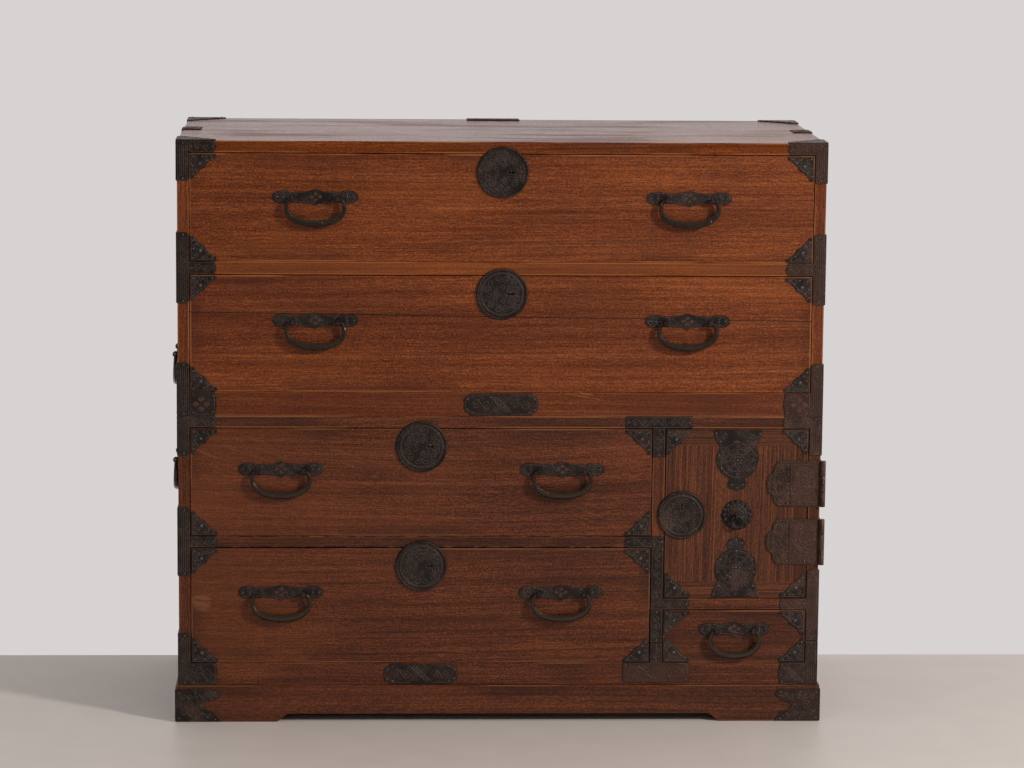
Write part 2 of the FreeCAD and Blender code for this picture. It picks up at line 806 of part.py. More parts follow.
def centre_plate(name, x, low, height):
    """Plate in the middle of a foot rail. Each end narrows to a rounded lobe."""
    body = new_body(name, x, "front", f"{low} + centre_plate_margin")
    half = dim.centre_plate_width / 2
    high = height - 2 * dim.centre_plate_margin
    neck, rim = high * 0.14, high * 0.32
    lobe = [(half * 0.84, 0.0), (half * 0.87, neck), (half * 0.95, neck), (half, rim)]
    outline = [(0.0, 0.0)] + lobe + flipped(backwards(lobe), up=-1, y=high) + [(0.0, high)]
    pad(body, sketch(body, "XZ_Plane", [loop(mirrored_half(outline))]), "iron_thick")
    return body


def divider_irons():
    """Irons on the divider's front edge, from the lower case's top to its foot rail."""
    body = new_body("divider_irons", "divider_middle", "front", "plinth_height")
    stem = dim.divider_thick / 2
    arm = stem + dim.divider_arm
    base = dim.plinth_height
    case_top = dim.case_height
    opening_top = dim.drawer_3_top - base
    rail = (dim.drawer_4_top - base, dim.drawer_3_bottom - base)
    shelf = (dim.small_drawer_top - base, dim.cupboard_bottom - base)
    foot = dim.lower_foot_height
    split = foot + dim.tee_reach * 0.7
    top_low = opening_top - dim.tee_reach
    low_gap = dim.divider_foot_gap
    top_tee = [(-arm, case_top), (-arm, opening_top), (-stem, opening_top), (-stem, top_low)]
    top_tee += [(stem, top_low), (stem, opening_top), (arm, opening_top), (arm, case_top)]
    middle = [(-stem, rail[1])] + rounded_arm(-arm, rail[1], rail[0])
    middle += [(-stem, rail[0]), (-stem, split + dim.iron_joint), (stem, split + dim.iron_joint)]
    middle += [(stem, shelf[0])] + rounded_arm(arm, *shelf) + [(stem, shelf[1]), (stem, rail[1])]
    low_tee = [(-stem, split), (-stem, foot), (-arm, foot), (-arm, low_gap)]
    low_tee += [(arm, low_gap), (arm, foot), (stem, foot), (stem, split)]
    outlines = [loop(steps) for steps in (top_tee, middle, low_tee)]
    pad(body, sketch(body, "XZ_Plane", outlines), "iron_thick")
    return body


def plinth_irons():
    """Irons round the plinth's two front corners, each with a cloud-shaped inner edge."""
    irons = []
    wide = dim.plinth_iron_width
    low = dim.floor_gap
    high = dim.plinth_iron_height
    lip = dim.iron_thick
    cloud = [(0.92, 1.0), (1.0, 0.85), (0.85, 0.66), (0.7, 0.62), (0.62, 0.5), (0.7, 0.34), (0.88, 0.28)]
    edge = [(-wide * across, high * up) for across, up in cloud] + [(-wide, low)]
    for side in (-1, 1):
        body = new_body("plinth_iron", f"{side} * (half_width + plinth_overhang)", PLINTH_FRONT, "0")
        front_leaf = [(0.0, high)] + edge + [(0.0, low)]
        pad(body, sketch(body, "XZ_Plane", [loop(flipped(front_leaf, across=side))]), "iron_thick")
        side_leaf = [(-lip, high)] + flipped(edge, across=-1) + [(-lip, low)]
        pad(body, sketch(body, "YZ_Plane", [loop(side_leaf)]), "iron_thick", reverse=side < 0)
        irons.append(body)
    return irons


node(
    "upper_irons",
    *upper_corner_irons(),
    *top_straps(),
    back_strap(),
    centre_plate("upper_centre_plate", "0", "joint_level", dim.upper_foot_height),
    *side_handles("upper", "upper_handle_level"),
)
lower_plate_x = "(divider_left - inner_half) / 2"
node(
    "lower_irons",
    *lower_corner_irons(),
    divider_irons(),
    centre_plate("lower_centre_plate", lower_plate_x, "plinth_height", dim.lower_foot_height),
    *plinth_irons(),
    *side_handles("lower", "lower_handle_level"),
)

# ---------------------------------------------------------------- locks


def keyhole_outline(upright):
    """A six-sided hole beside the plate's middle, with a slot that points away along +X or up."""
    half = dim.keyhole_slot / 2
    hole = [(dim.keyhole_radius, half)] + polygon(6, dim.keyhole_radius)[2:] + [(dim.keyhole_radius, -half)]
    slot = [(dim.keyhole_length, -half), (dim.keyhole_length, half)]
    turned = [(x + dim.keyhole_offset, y) for x, y in hole + slot]
    return [(-y, x) for x, y in turned] if upright else turned


def lock_plate(name, x, y, z, radius, upright=False):
    """Round escutcheon with the keyhole off its centre."""
    body = new_body(name, x, y, z)
    outlines = [circle(value(radius)), loop(keyhole_outline(upright))]
    pad(body, sketch(body, "XZ_Plane", outlines), "lock_plate_thick")
    return body


def keyway(name, x, depth, z):
    """The slot through the wood behind the keyhole."""
    start = f"{x} + keyhole_offset - keyhole_radius"
    height = (f"{z} - keyhole_radius", f"{z} + keyhole_radius")
    return board(f"{name}_keyway", (start, f"{start} + keyhole_length"), depth, height)


def lock(name, x, back_face, z, sideways=False):
    """Lock case on the inside of a front, with its bolt drawn back and the bolt's end just showing.

    x and z are the middle of the edge that the bolt comes out of: the upper one, or sideways the left.
    """
    depth = (back_face, f"{back_face} + lock_case_depth")
    bolt_depth = around(f"{back_face} + lock_case_depth / 2", "bolt_thick")
    if sideways:
        case_spans = ((x, f"{x} + lock_case_height"), depth, around(z, "lock_case_width"))
        bolt_spans = ((f"{x} - bolt_stub", x), bolt_depth, around(z, "bolt_width"))
    else:
        case_spans = (around(x, "lock_case_width"), depth, (f"{z} - lock_case_height", z))
        bolt_spans = (around(x, "bolt_width"), bolt_depth, (z, f"{z} + bolt_stub"))
    node(name, board(f"{name}_case", *case_spans), board(f"{name}_bolt", *bolt_spans))


# ---------------------------------------------------------------- drawers


def corner_plate_outline(width, height):
    """Three-cornered plate for a drawer's corner, with two hollows and a cusp on its long edge."""
    tip = 5.0
    start, end = (-width, -tip), (-tip, -height)
    return [(0.0, 0.0), (-width, 0.0), start] + notches(start, end, 2, 2.5) + [(0.0, -height)]


def corner_plate_loops(half, low, high, x=0.0):
    """The four corner plates of a front that is 2 * half wide and lies between low and high."""
    outline = corner_plate_outline(dim.drawer_corner_width, dim.drawer_corner_height)
    loops = []
    for side in (-1, 1):
        edge = x + side * (half - dim.corner_inset)
        loops.append(loop(flipped(outline, across=side, x=edge, y=high - dim.corner_inset)))
        loops.append(loop(flipped(outline, across=side, up=-1, x=edge, y=low + dim.corner_inset)))
    return loops


def drawer(name, left, right, handle, spread=None):
    """One drawer. With a spread it has a lock and two handles, without one a single handle."""
    middle = f"(({left}) + ({right})) / 2"
    inner_face = "face + front_thick"
    low, high = f"{name}_bottom + run_gap", f"{name}_top - top_gap"
    axis_level = f"{name}_top - {name}_handle_drop"
    lock_level = f"{name}_top - lock_drop"
    handles = {"handle_left": f"-{spread}", "handle_right": spread} if spread else {"handle": "0"}

    wide = (f"{left} + side_gap", f"{right} - side_gap")
    plain = board(f"{name}_plain", wide, ("face", inner_face), (low, high))
    openings = [keyway(name, middle, ("face", inner_face), lock_level)] if spread else []
    for place in handles.values():
        openings += post_cutters(name, handle, f"{middle} + {place}", ("face", inner_face), axis_level)
    node(f"{name}_front", cut(f"{name}_pierced", plain, openings))

    drawer_box(name, (f"{left} + side_gap + box_inset", f"{right} - side_gap - box_inset"), low, high)
    if spread:
        lock(f"{name}_lock", f"{middle} + keyhole_offset", inner_face, f"{high} - lock_case_margin")

    axis_height = value(axis_level)
    half = value(f"({right}) - ({left})") / 2 - dim.side_gap
    loops = corner_plate_loops(half, value(low) - axis_height, value(high) - axis_height)
    for place in handles.values():
        loops += handle_plate_loops(handle, value(place), dim.plate_over_axis)
    plates = new_body(f"{name}_plates", middle, "face", axis_level)
    pad(plates, sketch(plates, "XZ_Plane", loops), "iron_thick")
    irons = [plates]
    if spread:
        irons.append(lock_plate(f"{name}_lock_plate", middle, "face", lock_level, "lock_plate_radius"))
    for word, place in handles.items():
        axis = (f"{middle} + {place}", "face - post_reach", axis_level)
        irons += posts(name, handle, "post_reach", "front_thick", *axis)
        bail(f"{name}_{word}", handle, *axis)
    node(f"{name}_irons", *irons)


def drawer_box(name, wide, low, high):
    """The two sides, the back and the bottom behind the front."""
    left, right = wide
    start, rear = "face + front_thick", "inner_back - rear_gap"
    walls = (f"{low} + box_bottom_thick", f"{high} - box_side_drop")
    between = (f"{left} + box_side_thick", f"{right} - box_side_thick")
    node(
        f"{name}_box",
        board(f"{name}_left", (left, between[0]), (start, rear), walls),
        board(f"{name}_right", (between[1], right), (start, rear), walls),
        board(f"{name}_rear", between, (f"{rear} - box_back_thick", rear), walls),
        board(f"{name}_floor", wide, (start, rear), (low, f"{low} + box_bottom_thick")),
    )


for upper_drawer in ("drawer_1", "drawer_2"):
    drawer(upper_drawer, "-inner_half", "inner_half", LARGE_HANDLE, "upper_handle_spread")
for lower_drawer in ("drawer_3", "drawer_4"):
    drawer(lower_drawer, "-inner_half", "divider_left", LARGE_HANDLE, "lower_handle_spread")
drawer("small_drawer", "divider_right", "inner_half", SMALL_HANDLE)

# ---------------------------------------------------------------- cupboard door


DOOR_LOCK_X = "door_left + door_lock_inset"


def door_panel():
    wide = ("door_left", "door_right")
    depth = ("face", "face + door_thick")
    node(
        "door_panel",
        board("door_boards", wide, depth, ("door_bottom + door_batten", "door_top - door_batten")),
        board("door_top_batten", wide, depth, ("door_top - door_batten", "door_top")),
        board("door_bottom_batten", wide, depth, ("door_bottom", "door_bottom + door_batten")),
    )


def ornament_outline():
    """Strap end: a flared base on the edge, a disc, and a lobed head. The base is at z = 0."""
    base, disc = dim.ornament_base, dim.ornament_disc
    neck, head = dim.ornament_neck, dim.ornament_head
    length = dim.ornament_length
    waist = disc * 0.84
    right = [(0.0, 0.0), (base, 0.0), (base - 3.0, -length * 0.13), (waist, -length * 0.28)]
    right += [((disc, -length * 0.5), (neck, -length * 0.8)), (head, -length * 0.88)]
    right += [(head * 0.8, -length * 0.97), (0.0, -length)]
    return mirrored_half(right)


def door_irons():
    """Corner plates, the two strap ornaments, and the rosette with the post that holds the ring."""
    plates = new_body("door_plates", "door_middle", "face", "door_centre")
    middle = dim.door_middle
    half = (dim.door_right - dim.door_left) / 2
    centre = dim.door_centre
    low, high = dim.door_bottom - centre, dim.door_top - centre
    loops = corner_plate_loops(half, low, high, (dim.door_left + dim.door_right) / 2 - middle)
    ornament = ornament_outline()
    loops.append(loop(flipped(ornament, y=high - dim.ornament_margin)))
    loops.append(loop(flipped(ornament, up=-1, y=low + dim.ornament_margin)))
    window = high - dim.ornament_margin - dim.ornament_length * 0.19
    wide, tall = dim.ornament_window / 2, dim.ornament_window / 3
    loops.append(loop([(-wide, window), (0.0, window + tall), (wide, window), (0.0, window - tall)]))
    pad(plates, sketch(plates, "XZ_Plane", loops), "iron_thick")

    rosette = new_body("door_rosette", "door_middle", "face", "door_centre")
    radius, height = dim.rosette_radius, dim.rosette_height
    profile = [(0.0, 0.0), (radius, 0.0), (radius * 0.4, -height), (0.0, -height)]
    revolve(rosette, sketch(rosette, "XY_Plane", [loop(profile)]), "V_Axis")

    hole = dim.ring_wire + dim.ring_eye_gap
    rim = hole + dim.ring_eye_wall
    shank = dim.post_shank / 2
    end = dim.ring_post_reach - dim.rosette_height
    stem = [(rim, shank)] + polygon(8, rim)[2:] + [(rim, -shank), (end, -shank), (end, shank)]
    post = new_body("door_ring_post", "door_middle", "face - ring_post_reach", "door_centre")
    pad(post, sketch(post, "YZ_Plane", [loop(stem), circle(hole)]), "post_width", "Symmetric")
    plate = lock_plate("door_lock_plate", DOOR_LOCK_X, "face", "door_centre", "door_lock_radius", True)
    node("door_irons", plates, rosette, post, plate)


def door_ring():
    """Drop ring, hammered in flats with bevelled edges, that hangs from its post."""
    body = new_body("door_ring", "door_middle", "face - ring_post_reach", "door_centre - ring_radius")
    wire = dim.ring_wire
    outlines = [loop(polygon(12, dim.ring_radius + wire)), loop(polygon(12, dim.ring_radius - wire))]
    forging = pad(body, sketch(body, "XZ_Plane", outlines), "2 * ring_wire", "Symmetric")
    chamfer_faces(body, forging, (-1, 1), "ring_wire * 0.6")
    node("door_ring", body)


HINGES = ("lower_hinge_level", "upper_hinge_level")


def knuckle(body, low, high):
    profile = sketch(body, "XY_Plane", [circle(dim.knuckle_radius)], low)
    pad(body, profile, f"({high}) - ({low})")


def bore(body):
    """The hole for the pin, through all the knuckles of one leaf."""
    profile = sketch(body, "XY_Plane", [circle(dim.pin_radius + dim.pin_clearance)], "-hinge_height")
    pocket(body, profile, "2 * hinge_height", reverse=True)


def door_hinge_leaf(level):
    """Strap on the door with the middle knuckle. Its free end is a rounded lobe between two shoulders."""
    body = new_body("door_leaf", "hinge_x", "hinge_y", level)
    half = dim.hinge_height / 2
    end = -(dim.hinge_leaf + dim.axis_out)
    relief = -(dim.knuckle_radius + dim.leaf_relief)
    tongue = dim.hinge_height / 6 - dim.knuckle_gap / 2
    bevel = dim.hinge_bevel
    shoulder = [(end + bevel, half), (end + 0.62 * bevel, half * 0.76), (end + 0.55 * bevel, half * 0.5)]
    nose = (end + 0.15 * bevel, half * 0.36)
    edge = [(0.0, -tongue), (relief, -tongue), (relief, -half)] + flipped(shoulder, up=-1)
    edge += [(nose[0], -nose[1]), ((end, 0.0), nose)]
    edge += backwards(shoulder) + [(relief, half), (relief, tongue), (0.0, tongue)]
    leaf = sketch(body, "XZ_Plane", [loop(edge)], "-(axis_out - front_proud)")
    pad(body, leaf, "hinge_thick")
    knuckle(body, "-hinge_height / 6 + knuckle_gap / 2", "hinge_height / 6 - knuckle_gap / 2")
    bore(body)
    return body


def case_hinge_leaf(level):
    """Leaf on the side of the case with the upper and lower knuckles."""
    body = new_body("case_leaf", "hinge_x", "hinge_y", level)
    half = dim.hinge_height / 2
    end = dim.axis_out + dim.hinge_side_leaf
    relief = dim.knuckle_radius + dim.leaf_relief
    third = dim.hinge_height / 6 + dim.knuckle_gap / 2
    slant = end - dim.hinge_bevel
    steps = [(0.0, half), (0.0, third), (relief, third), (relief, -third), (0.0, -third), (0.0, -half)]
    steps += [(slant, -half), (end, -half / 4), (end, half / 4), (slant, half)]
    leaf = sketch(body, "YZ_Plane", [loop(steps)], "-axis_out")
    pad(body, leaf, "hinge_thick")
    knuckle(body, "hinge_height / 6 + knuckle_gap / 2", "hinge_height / 2")
    knuckle(body, "-hinge_height / 2", "-hinge_height / 6 - knuckle_gap / 2")
    bore(body)
    return body


def hinge_pin(level):
    """Plain pin, as long as the three knuckles together."""
    body = new_body("hinge_pin", "hinge_x", "hinge_y", level)
    profile = sketch(body, "XY_Plane", [circle(dim.pin_radius)])
    pad(body, profile, "hinge_height", "Symmetric")
    return body


door_panel()
door_irons()
door_ring()
node("door_hinge_leaves", *[door_hinge_leaf(level) for level in HINGES])
node("hinge_case_leaves", *[case_hinge_leaf(level) for level in HINGES])
node("hinge_pins", *[hinge_pin(level) for level in HINGES])
lock("door_lock", f"{DOOR_LOCK_X} - lock_case_height / 2", "face + door_thick", "door_centre", True)

# ---------------------------------------------------------------- checks and files

doc.recompute()
for item in doc.Objects:
    if {"Invalid", "Error"} & set(item.State):
        raise RuntimeError(f"{item.Label} failed: {item.State}")
    if item.TypeId == "PartDesign::Pocket" and item.Shape.Volume >= item.BaseFeature.Shape.Volume:
        raise RuntimeError(f"{item.Label} cuts nothing")
for item in nodes:
    if item.Shape.isNull() or not item.Shape.isValid():
        raise RuntimeError(f"{item.Label} has no valid shape")

os.makedirs("parts", exist_ok=True)
for item in nodes:
    item.Shape.exportStep(f"parts/{item.Label}.step")
print(len(nodes), "sub-parts written")
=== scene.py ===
import json
import math

import bmesh
import bpy
from mathutils import Matrix, Vector

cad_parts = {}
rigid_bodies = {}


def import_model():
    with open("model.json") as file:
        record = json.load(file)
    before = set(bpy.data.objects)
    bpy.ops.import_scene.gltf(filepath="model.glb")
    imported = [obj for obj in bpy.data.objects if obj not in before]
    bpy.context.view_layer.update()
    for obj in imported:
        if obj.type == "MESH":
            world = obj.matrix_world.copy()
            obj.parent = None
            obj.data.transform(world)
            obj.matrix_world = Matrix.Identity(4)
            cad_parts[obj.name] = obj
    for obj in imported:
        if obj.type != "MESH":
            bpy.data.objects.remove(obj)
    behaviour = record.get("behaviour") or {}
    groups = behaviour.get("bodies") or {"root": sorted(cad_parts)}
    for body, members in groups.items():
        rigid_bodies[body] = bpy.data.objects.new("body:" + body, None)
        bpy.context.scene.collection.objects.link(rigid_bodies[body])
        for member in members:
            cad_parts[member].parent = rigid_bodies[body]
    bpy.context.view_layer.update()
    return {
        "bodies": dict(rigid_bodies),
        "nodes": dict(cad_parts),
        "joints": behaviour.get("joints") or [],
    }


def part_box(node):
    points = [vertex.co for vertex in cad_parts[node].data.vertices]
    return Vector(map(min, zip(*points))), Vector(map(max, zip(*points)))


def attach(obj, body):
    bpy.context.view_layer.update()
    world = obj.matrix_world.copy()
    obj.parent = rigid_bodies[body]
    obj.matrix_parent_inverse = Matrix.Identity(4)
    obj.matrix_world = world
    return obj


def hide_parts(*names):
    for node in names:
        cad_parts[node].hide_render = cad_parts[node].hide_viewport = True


# Two-section chest of drawers on a plinth (kasane tansu), dressed over its fixed frame: first its boards,
# then its ironwork, and last the room that it stands in. Lengths are in metres, and those of the marks on
# the ironwork in millimetres.

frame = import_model()
nodes = frame["nodes"]

# ---------------------------------------------------------------- plinth, cases and rails
# Boards of a ring-porous softish wood, planed, stained orange-brown and wiped with lacquer. The lower
# case has darkened more than the upper one. Old lacquer has gone thin along the arrises.

MM = 0.001


class Field:
    """A number or a colour that changes over a surface, so that sums of them read as arithmetic."""

    def __init__(self, graph, socket):
        self.graph = graph
        self.socket = socket

    def __add__(self, other):
        return self.graph.maths("ADD", self, other)

    def __sub__(self, other):
        return self.graph.maths("SUBTRACT", self, other)

    def __rsub__(self, other):
        return self.graph.maths("SUBTRACT", other, self)

    def __mul__(self, other):
        return self.graph.maths("MULTIPLY", self, other)

    def __truediv__(self, other):
        return self.graph.maths("DIVIDE", self, other)

    __radd__ = __add__
    __rmul__ = __mul__

    def __abs__(self):
        return self.graph.maths("ABSOLUTE", self)

    def rise(self, start, end):
        """0 below start, 1 above end, smooth between them, and the other way round where end is lower."""
        sockets = {"Value": self, "From Min": start, "From Max": end}
        return self.graph.node("ShaderNodeMapRange", {"interpolation_type": "SMOOTHSTEP"}, sockets)


class Graph:
    """A tree of nodes, where each is made with its settings first and gives one output as a field."""

    def __init__(self, tree):
        self.tree = tree

    def node(self, kind, settings=None, sockets=None, output=0):
        made = self.tree.nodes.new(kind)
        for key, setting in (settings or {}).items():
            if key == "stops":
                self.fill_ramp(made.color_ramp, setting)
            else:
                setattr(made, key, setting)
        for key, content in (sockets or {}).items():
            self.plug(made.inputs[key], content)
        return Field(self, made.outputs[output]) if len(made.outputs) else None

    def plug(self, socket, content):
        if isinstance(content, Field):
            self.tree.links.new(content.socket, socket)
        else:
            socket.default_value = content

    @staticmethod
    def fill_ramp(ramp, stops):
        for position, colour in stops[2:]:
            ramp.elements.new(position)
        for element, (position, colour) in zip(ramp.elements, sorted(stops)):
            element.position = position
            element.color = colour

    def maths(self, operation, *values):
        return self.node("ShaderNodeMath", {"operation": operation}, dict(enumerate(values)))


class Finish(Graph):
    """One material, built up from patterns that read X, Y and Z on the object, in metres."""

    metal, depth = 0.0, None

    def __init__(self, name):
        self.name = name
        self.material = bpy.data.materials.new(name)
        self.material.use_nodes = True
        super().__init__(self.material.node_tree)
        self.shader = self.tree.nodes["Principled BSDF"]
        where = self.node("ShaderNodeTexCoord", output="Object")
        self.at = [self.node("ShaderNodeSeparateXYZ", None, {"Vector": where}, axis) for axis in range(3)]

    def pattern(self, kind, settings, point, **sockets):
        """One cloud or cell to each unit of the point."""
        where = self.node("ShaderNodeCombineXYZ", None, dict(zip("XYZ", point)))
        return self.node(kind, settings, {"Vector": where, "Scale": 1.0, **sockets})

    def noise(self, point, detail, contrast):
        """Cloudy pattern round 0.5."""
        return (self.pattern("ShaderNodeTexNoise", None, point, Detail=detail) - 0.5) * contrast + 0.5

    def cells(self, point, feature="F1"):
        return self.pattern("ShaderNodeTexVoronoi", {"feature": feature}, point)

    def mix(self, share, start, end):
        colours = {0: share, 6: start, 7: end}
        return self.node("ShaderNodeMix", {"data_type": "RGBA", "clamp_factor": True}, colours, 2)

    def lay(self, mask, colour):
        """Lays a colour over what is there, by the share that the mask gives."""
        self.colour = self.mix(mask, self.colour, colour)

    def done(self):
        """Feeds the shader with the colour, the roughness and, where it has a depth, the height."""
        parts = {"Base Color": self.colour, "Roughness": self.roughness, "Metallic": self.metal}
        if self.depth:
            sockets = {"Height": self.height, "Distance": self.depth, "Strength": 1.0}
            parts["Normal"] = self.node("ShaderNodeBump", None, sockets)
        for title, content in parts.items():
            self.plug(self.shader.inputs[title], content)
        return self.material

    def dress(self):
        """Puts the material on the node that it is named after."""
        slots = nodes[self.name].data.materials
        slots.clear()
        slots.append(self.done())


def srgb(red, green, blue):
    """A colour as it is given, from 0 to 255."""
    return tuple(((part / 255 + 0.055) / 1.055) ** 2.4 for part in (red, green, blue)) + (1.0,)


def ease(name, width):
    """Takes the sharpness off the arrises of a node, by a width in mm."""
    weld = nodes[name].modifiers.new("weld", "WELD")
    weld.merge_threshold = 0.01 * MM
    bevel = nodes[name].modifiers.new("ease", "BEVEL")
    bevel.width = width * MM
    bevel.limit_method = "ANGLE"
    bevel.angle_limit = math.radians(50)


# Dark, middle and light of the grain, and the bare wood at the worn arrises.
UPPER_STAIN = (srgb(64, 25, 6), srgb(115, 52, 15), srgb(158, 84, 28), srgb(166, 100, 50))
LOWER_STAIN = (srgb(40, 16, 6), srgb(87, 40, 16), srgb(130, 67, 31), srgb(132, 80, 44))
DOOR_STAIN = (srgb(42, 19, 9), srgb(75, 36, 16), srgb(114, 60, 30), srgb(132, 82, 48))
INNER_WOOD = (srgb(126, 86, 54), srgb(170, 127, 86), srgb(196, 156, 112), srgb(204, 168, 126))


def boards_in(name):
    """The lowest and highest corner of each board of a node."""
    mesh = bmesh.new()
    mesh.from_mesh(nodes[name].data)
    bmesh.ops.remove_doubles(mesh, verts=mesh.verts, dist=1e-5)
    waiting, boxes = set(mesh.verts), []
    while waiting:
        found, edge = set(), [waiting.pop()]
        while edge:
            corner = edge.pop()
            found.add(corner)
            for link in corner.link_edges:
                other = link.other_vert(corner)
                if other in waiting:
                    waiting.remove(other)
                    edge.append(other)
        places = [corner.co for corner in found]
        boxes.append([tuple(pick(co[axis] for co in places) for axis in range(3)) for pick in (min, max)])
    mesh.free()
    return sorted(boxes)


# Each layer of the grain: patterns to the metre along it and across it, their detail and contrast, and
# the layer's share.
GRAIN = {
    "broad": (1.2, 9, 2, 2.4, 0.13),
    "growth": (1.1, 130, 2, 2.6, 0.16),
    "streaks": (7, 400, 2, 2.4, 0.21),
    "fibre": (60, 620, 1, 2.6, 0.19),
    "flecks": (280, 460, 1, 3.0, 0.31),
}
PORES, CLOUDS, DARK_LINES = (45, 620, 1, 2.4), (3.2, 7.5, 2, 2.4), (0.8, 260, 1, 2.8)


class Board(Finish):
    """Wood with its grain along one axis. Marks are laid over it before it is done."""

    depth = 0.2 * MM

    def __init__(self, name, along, seed, stain, shine=0.42, eased=0.6, crossed=None):
        super().__init__(name)
        ease(name, eased)
        self.stain = stain
        x, y, z = (part + shift for part, shift in zip(self.at, (seed * 3.1, seed * 1.7, seed * 2.3)))
        self.run, across, self.through = {"X": (x, z, y), "Y": (y, x, z), "Z": (z, x, y)}[along]
        if crossed:
            turned = crossed(self) * (across - self.run)
            self.run, across = self.run + turned, across - turned
        self.row = across + (self.noise((self.run * 0.9, across * 3, self.through * 3), 1, 0.05) - 0.5)
        layers = {layer: self.grain(*shape) for layer, (*shape, part) in GRAIN.items()}
        share = sum(layers[layer] * settings[-1] for layer, settings in GRAIN.items())
        dark, middle, light, self.bare = stain
        stops = [(0.16, dark), (0.5, middle), (0.84, light)]
        self.colour = self.node("ShaderNodeValToRGB", {"stops": stops}, {"Fac": share})
        pores = self.grain(*PORES).rise(0.66, 0.92)
        self.lay(pores * 0.4, dark)
        clouds = self.grain(*CLOUDS)
        self.shade(clouds.rise(0.4, 0.95) * 0.36)
        self.lay(clouds.rise(0.5, 0.05) * 0.18, light)
        self.lay(self.grain(*DARK_LINES).rise(0.8, 1.0) * 0.34, dark)
        growth, streaks, flecks = layers["growth"], layers["streaks"], layers["flecks"]
        self.roughness = growth * 0.14 + streaks * 0.1 + (shine - 0.12)
        self.height = growth * 0.3 + streaks * 0.5 + flecks * 0.3 - pores * 0.8
        self.plug(self.shader.inputs["Specular IOR Level"], 0.32)

    def grain(self, along, across, detail, contrast):
        """A pattern drawn out along the grain."""
        return self.noise((self.run * along, self.row * across, self.through * across), detail, contrast)

    def shade(self, mask):
        """Darkens towards two fifths of the stain's middle tone."""
        self.lay(mask, tuple(part * 0.42 for part in self.stain[1][:3]) + (1.0,))

    def scratches(self, angle):
        """Fine light strokes that cross the grain at a slant."""
        x, y, z = self.at
        along, across = math.cos(math.radians(angle)), math.sin(math.radians(angle))
        strokes = self.noise(((x * along + z * across) * 13, (z * along - x * across) * 300, y), 1, 2.6)
        places = self.noise((x * 7 + angle, y, z * 11), 2, 2.4)
        self.lay(strokes.rise(0.84, 1.0) * places.rise(0.5, 0.9) * 0.4, self.bare)

    def scratch(self, start, end, width, colour, strength):
        """One mark between two places given by X and Z."""
        run = Vector(end) - Vector(start)
        x, z = self.at[0] - start[0], self.at[2] - start[1]
        share = (x * run.x + z * run.y) / run.length_squared
        share = self.maths("MAXIMUM", self.maths("MINIMUM", share, 1.0), 0.0)
        x, z = x - share * run.x, z - share * run.y
        away = self.maths("SQRT", x * x + z * z)
        uneven = self.grain(60, 200, 2, 2.4).rise(0.1, 0.6)
        self.lay(away.rise(width, width * 0.5) * uneven * strength, colour)

    def shade_gaps(self):
        """The faces that look into the gaps round the fronts are painted near-black, as painted shade in
        the gaps.
        """
        depth = self.at[1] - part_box(self.name)[0].y
        near, deep = depth.rise(0.8 * MM, 1.6 * MM), depth.rise(30 * MM, 10 * MM)
        # painted shade: a near-black colour on the faces inside the gaps
        self.lay(near * deep * 0.9, srgb(24, 13, 9))

    def arris(self, low, high):
        """Distance to the nearest edge of one board: of the gaps along X, Y and Z, the second smallest."""
        sides = zip(self.at, low, high)
        x, y, z = (self.maths("MINIMUM", abs(at - start), abs(end - at)) for at, start, end in sides)
        smaller, larger = self.maths("MINIMUM", x, y), self.maths("MAXIMUM", x, y)
        return self.maths("MAXIMUM", smaller, self.maths("MINIMUM", larger, z))

    def wear_edges(self, bare):
        """Bare wood along the arrises, and a darker band inside them."""
        first, *others = [self.arris(*box) for box in boards_in(self.name)]
        for other in others:
            first = self.maths("MINIMUM", first, other)
        uneven = self.grain(7, 9, 2, 2.4)
        self.lay(first.rise(30 * MM, 3 * MM) * uneven.rise(0.3, 0.8) * 0.45, self.stain[0])
        self.lay(first.rise(2.6 * MM, 0.9 * MM) * uneven.rise(0.3, 0.75) * bare, self.bare)

def worn_board(*settings, bare=0.7, inside=False, **others):
    """A board with worn arrises, and painted shade on its faces in the gaps where it is inside the case."""
    board = Board(*settings, **others)
    board.wear_edges(bare)
    if inside:
        board.shade_gaps()
    return board


for seed, side in enumerate(("left", "right"), start=2):
    worn_board(f"upper_side_{side}", "Z", seed, UPPER_STAIN).dress()
    worn_board(f"lower_side_{side}", "Z", seed + 2, LOWER_STAIN).dress()
for seed, rails in enumerate(("lower_top", "cupboard_floor"), start=8):
    worn_board(rails, "X", seed, LOWER_STAIN, bare=1.0, inside=True).dress()
worn_board("lower_divider", "Z", 11, LOWER_STAIN, inside=True).dress()
HIDDEN = ("upper_back", "lower_back", "upper_bottom", "lower_bottom")
HIDDEN += ("upper_drawer_shelf", "lower_drawer_shelf", "cupboard_shelf")
for seed, hidden in enumerate(HIDDEN, start=12):
    worn_board(hidden, "X", seed, INNER_WOOD, 0.6, bare=0.2).dress()


def lower_rails():
    """Painted shadow: dark lines along the arrises of the rail between the drawers, where the gaps are."""
    board = worn_board("lower_rails", "X", 7, LOWER_STAIN, inside=True)
    low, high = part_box("drawer_4_front")
    for level, width in ((high.z, 5.4 * MM), (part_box("drawer_3_front")[0].z, 2.2 * MM)):
        # painted shadow along the gaps above and below the rail
        board.scratch((low.x, level), (high.x, level), width, srgb(20, 11, 8), 0.9)
    board.dress()


def upper_rails():
    """The foot rail is darker than the rail between the drawers, and has two light scratches."""
    board = worn_board("upper_rails", "X", 6, UPPER_STAIN)
    board.shade(board.at[2].rise(0.56, 0.55) * 0.34)
    board.lay(board.at[2].rise(0.6, 0.61) * 0.22, board.stain[2])
    board.shade_gaps()
    board.scratch((0.088, 0.527), (0.142, 0.518), 1.0 * MM, board.bare, 0.7)
    board.scratch((0.100, 0.521), (0.154, 0.511), 0.8 * MM, board.bare, 0.5)
    board.dress()


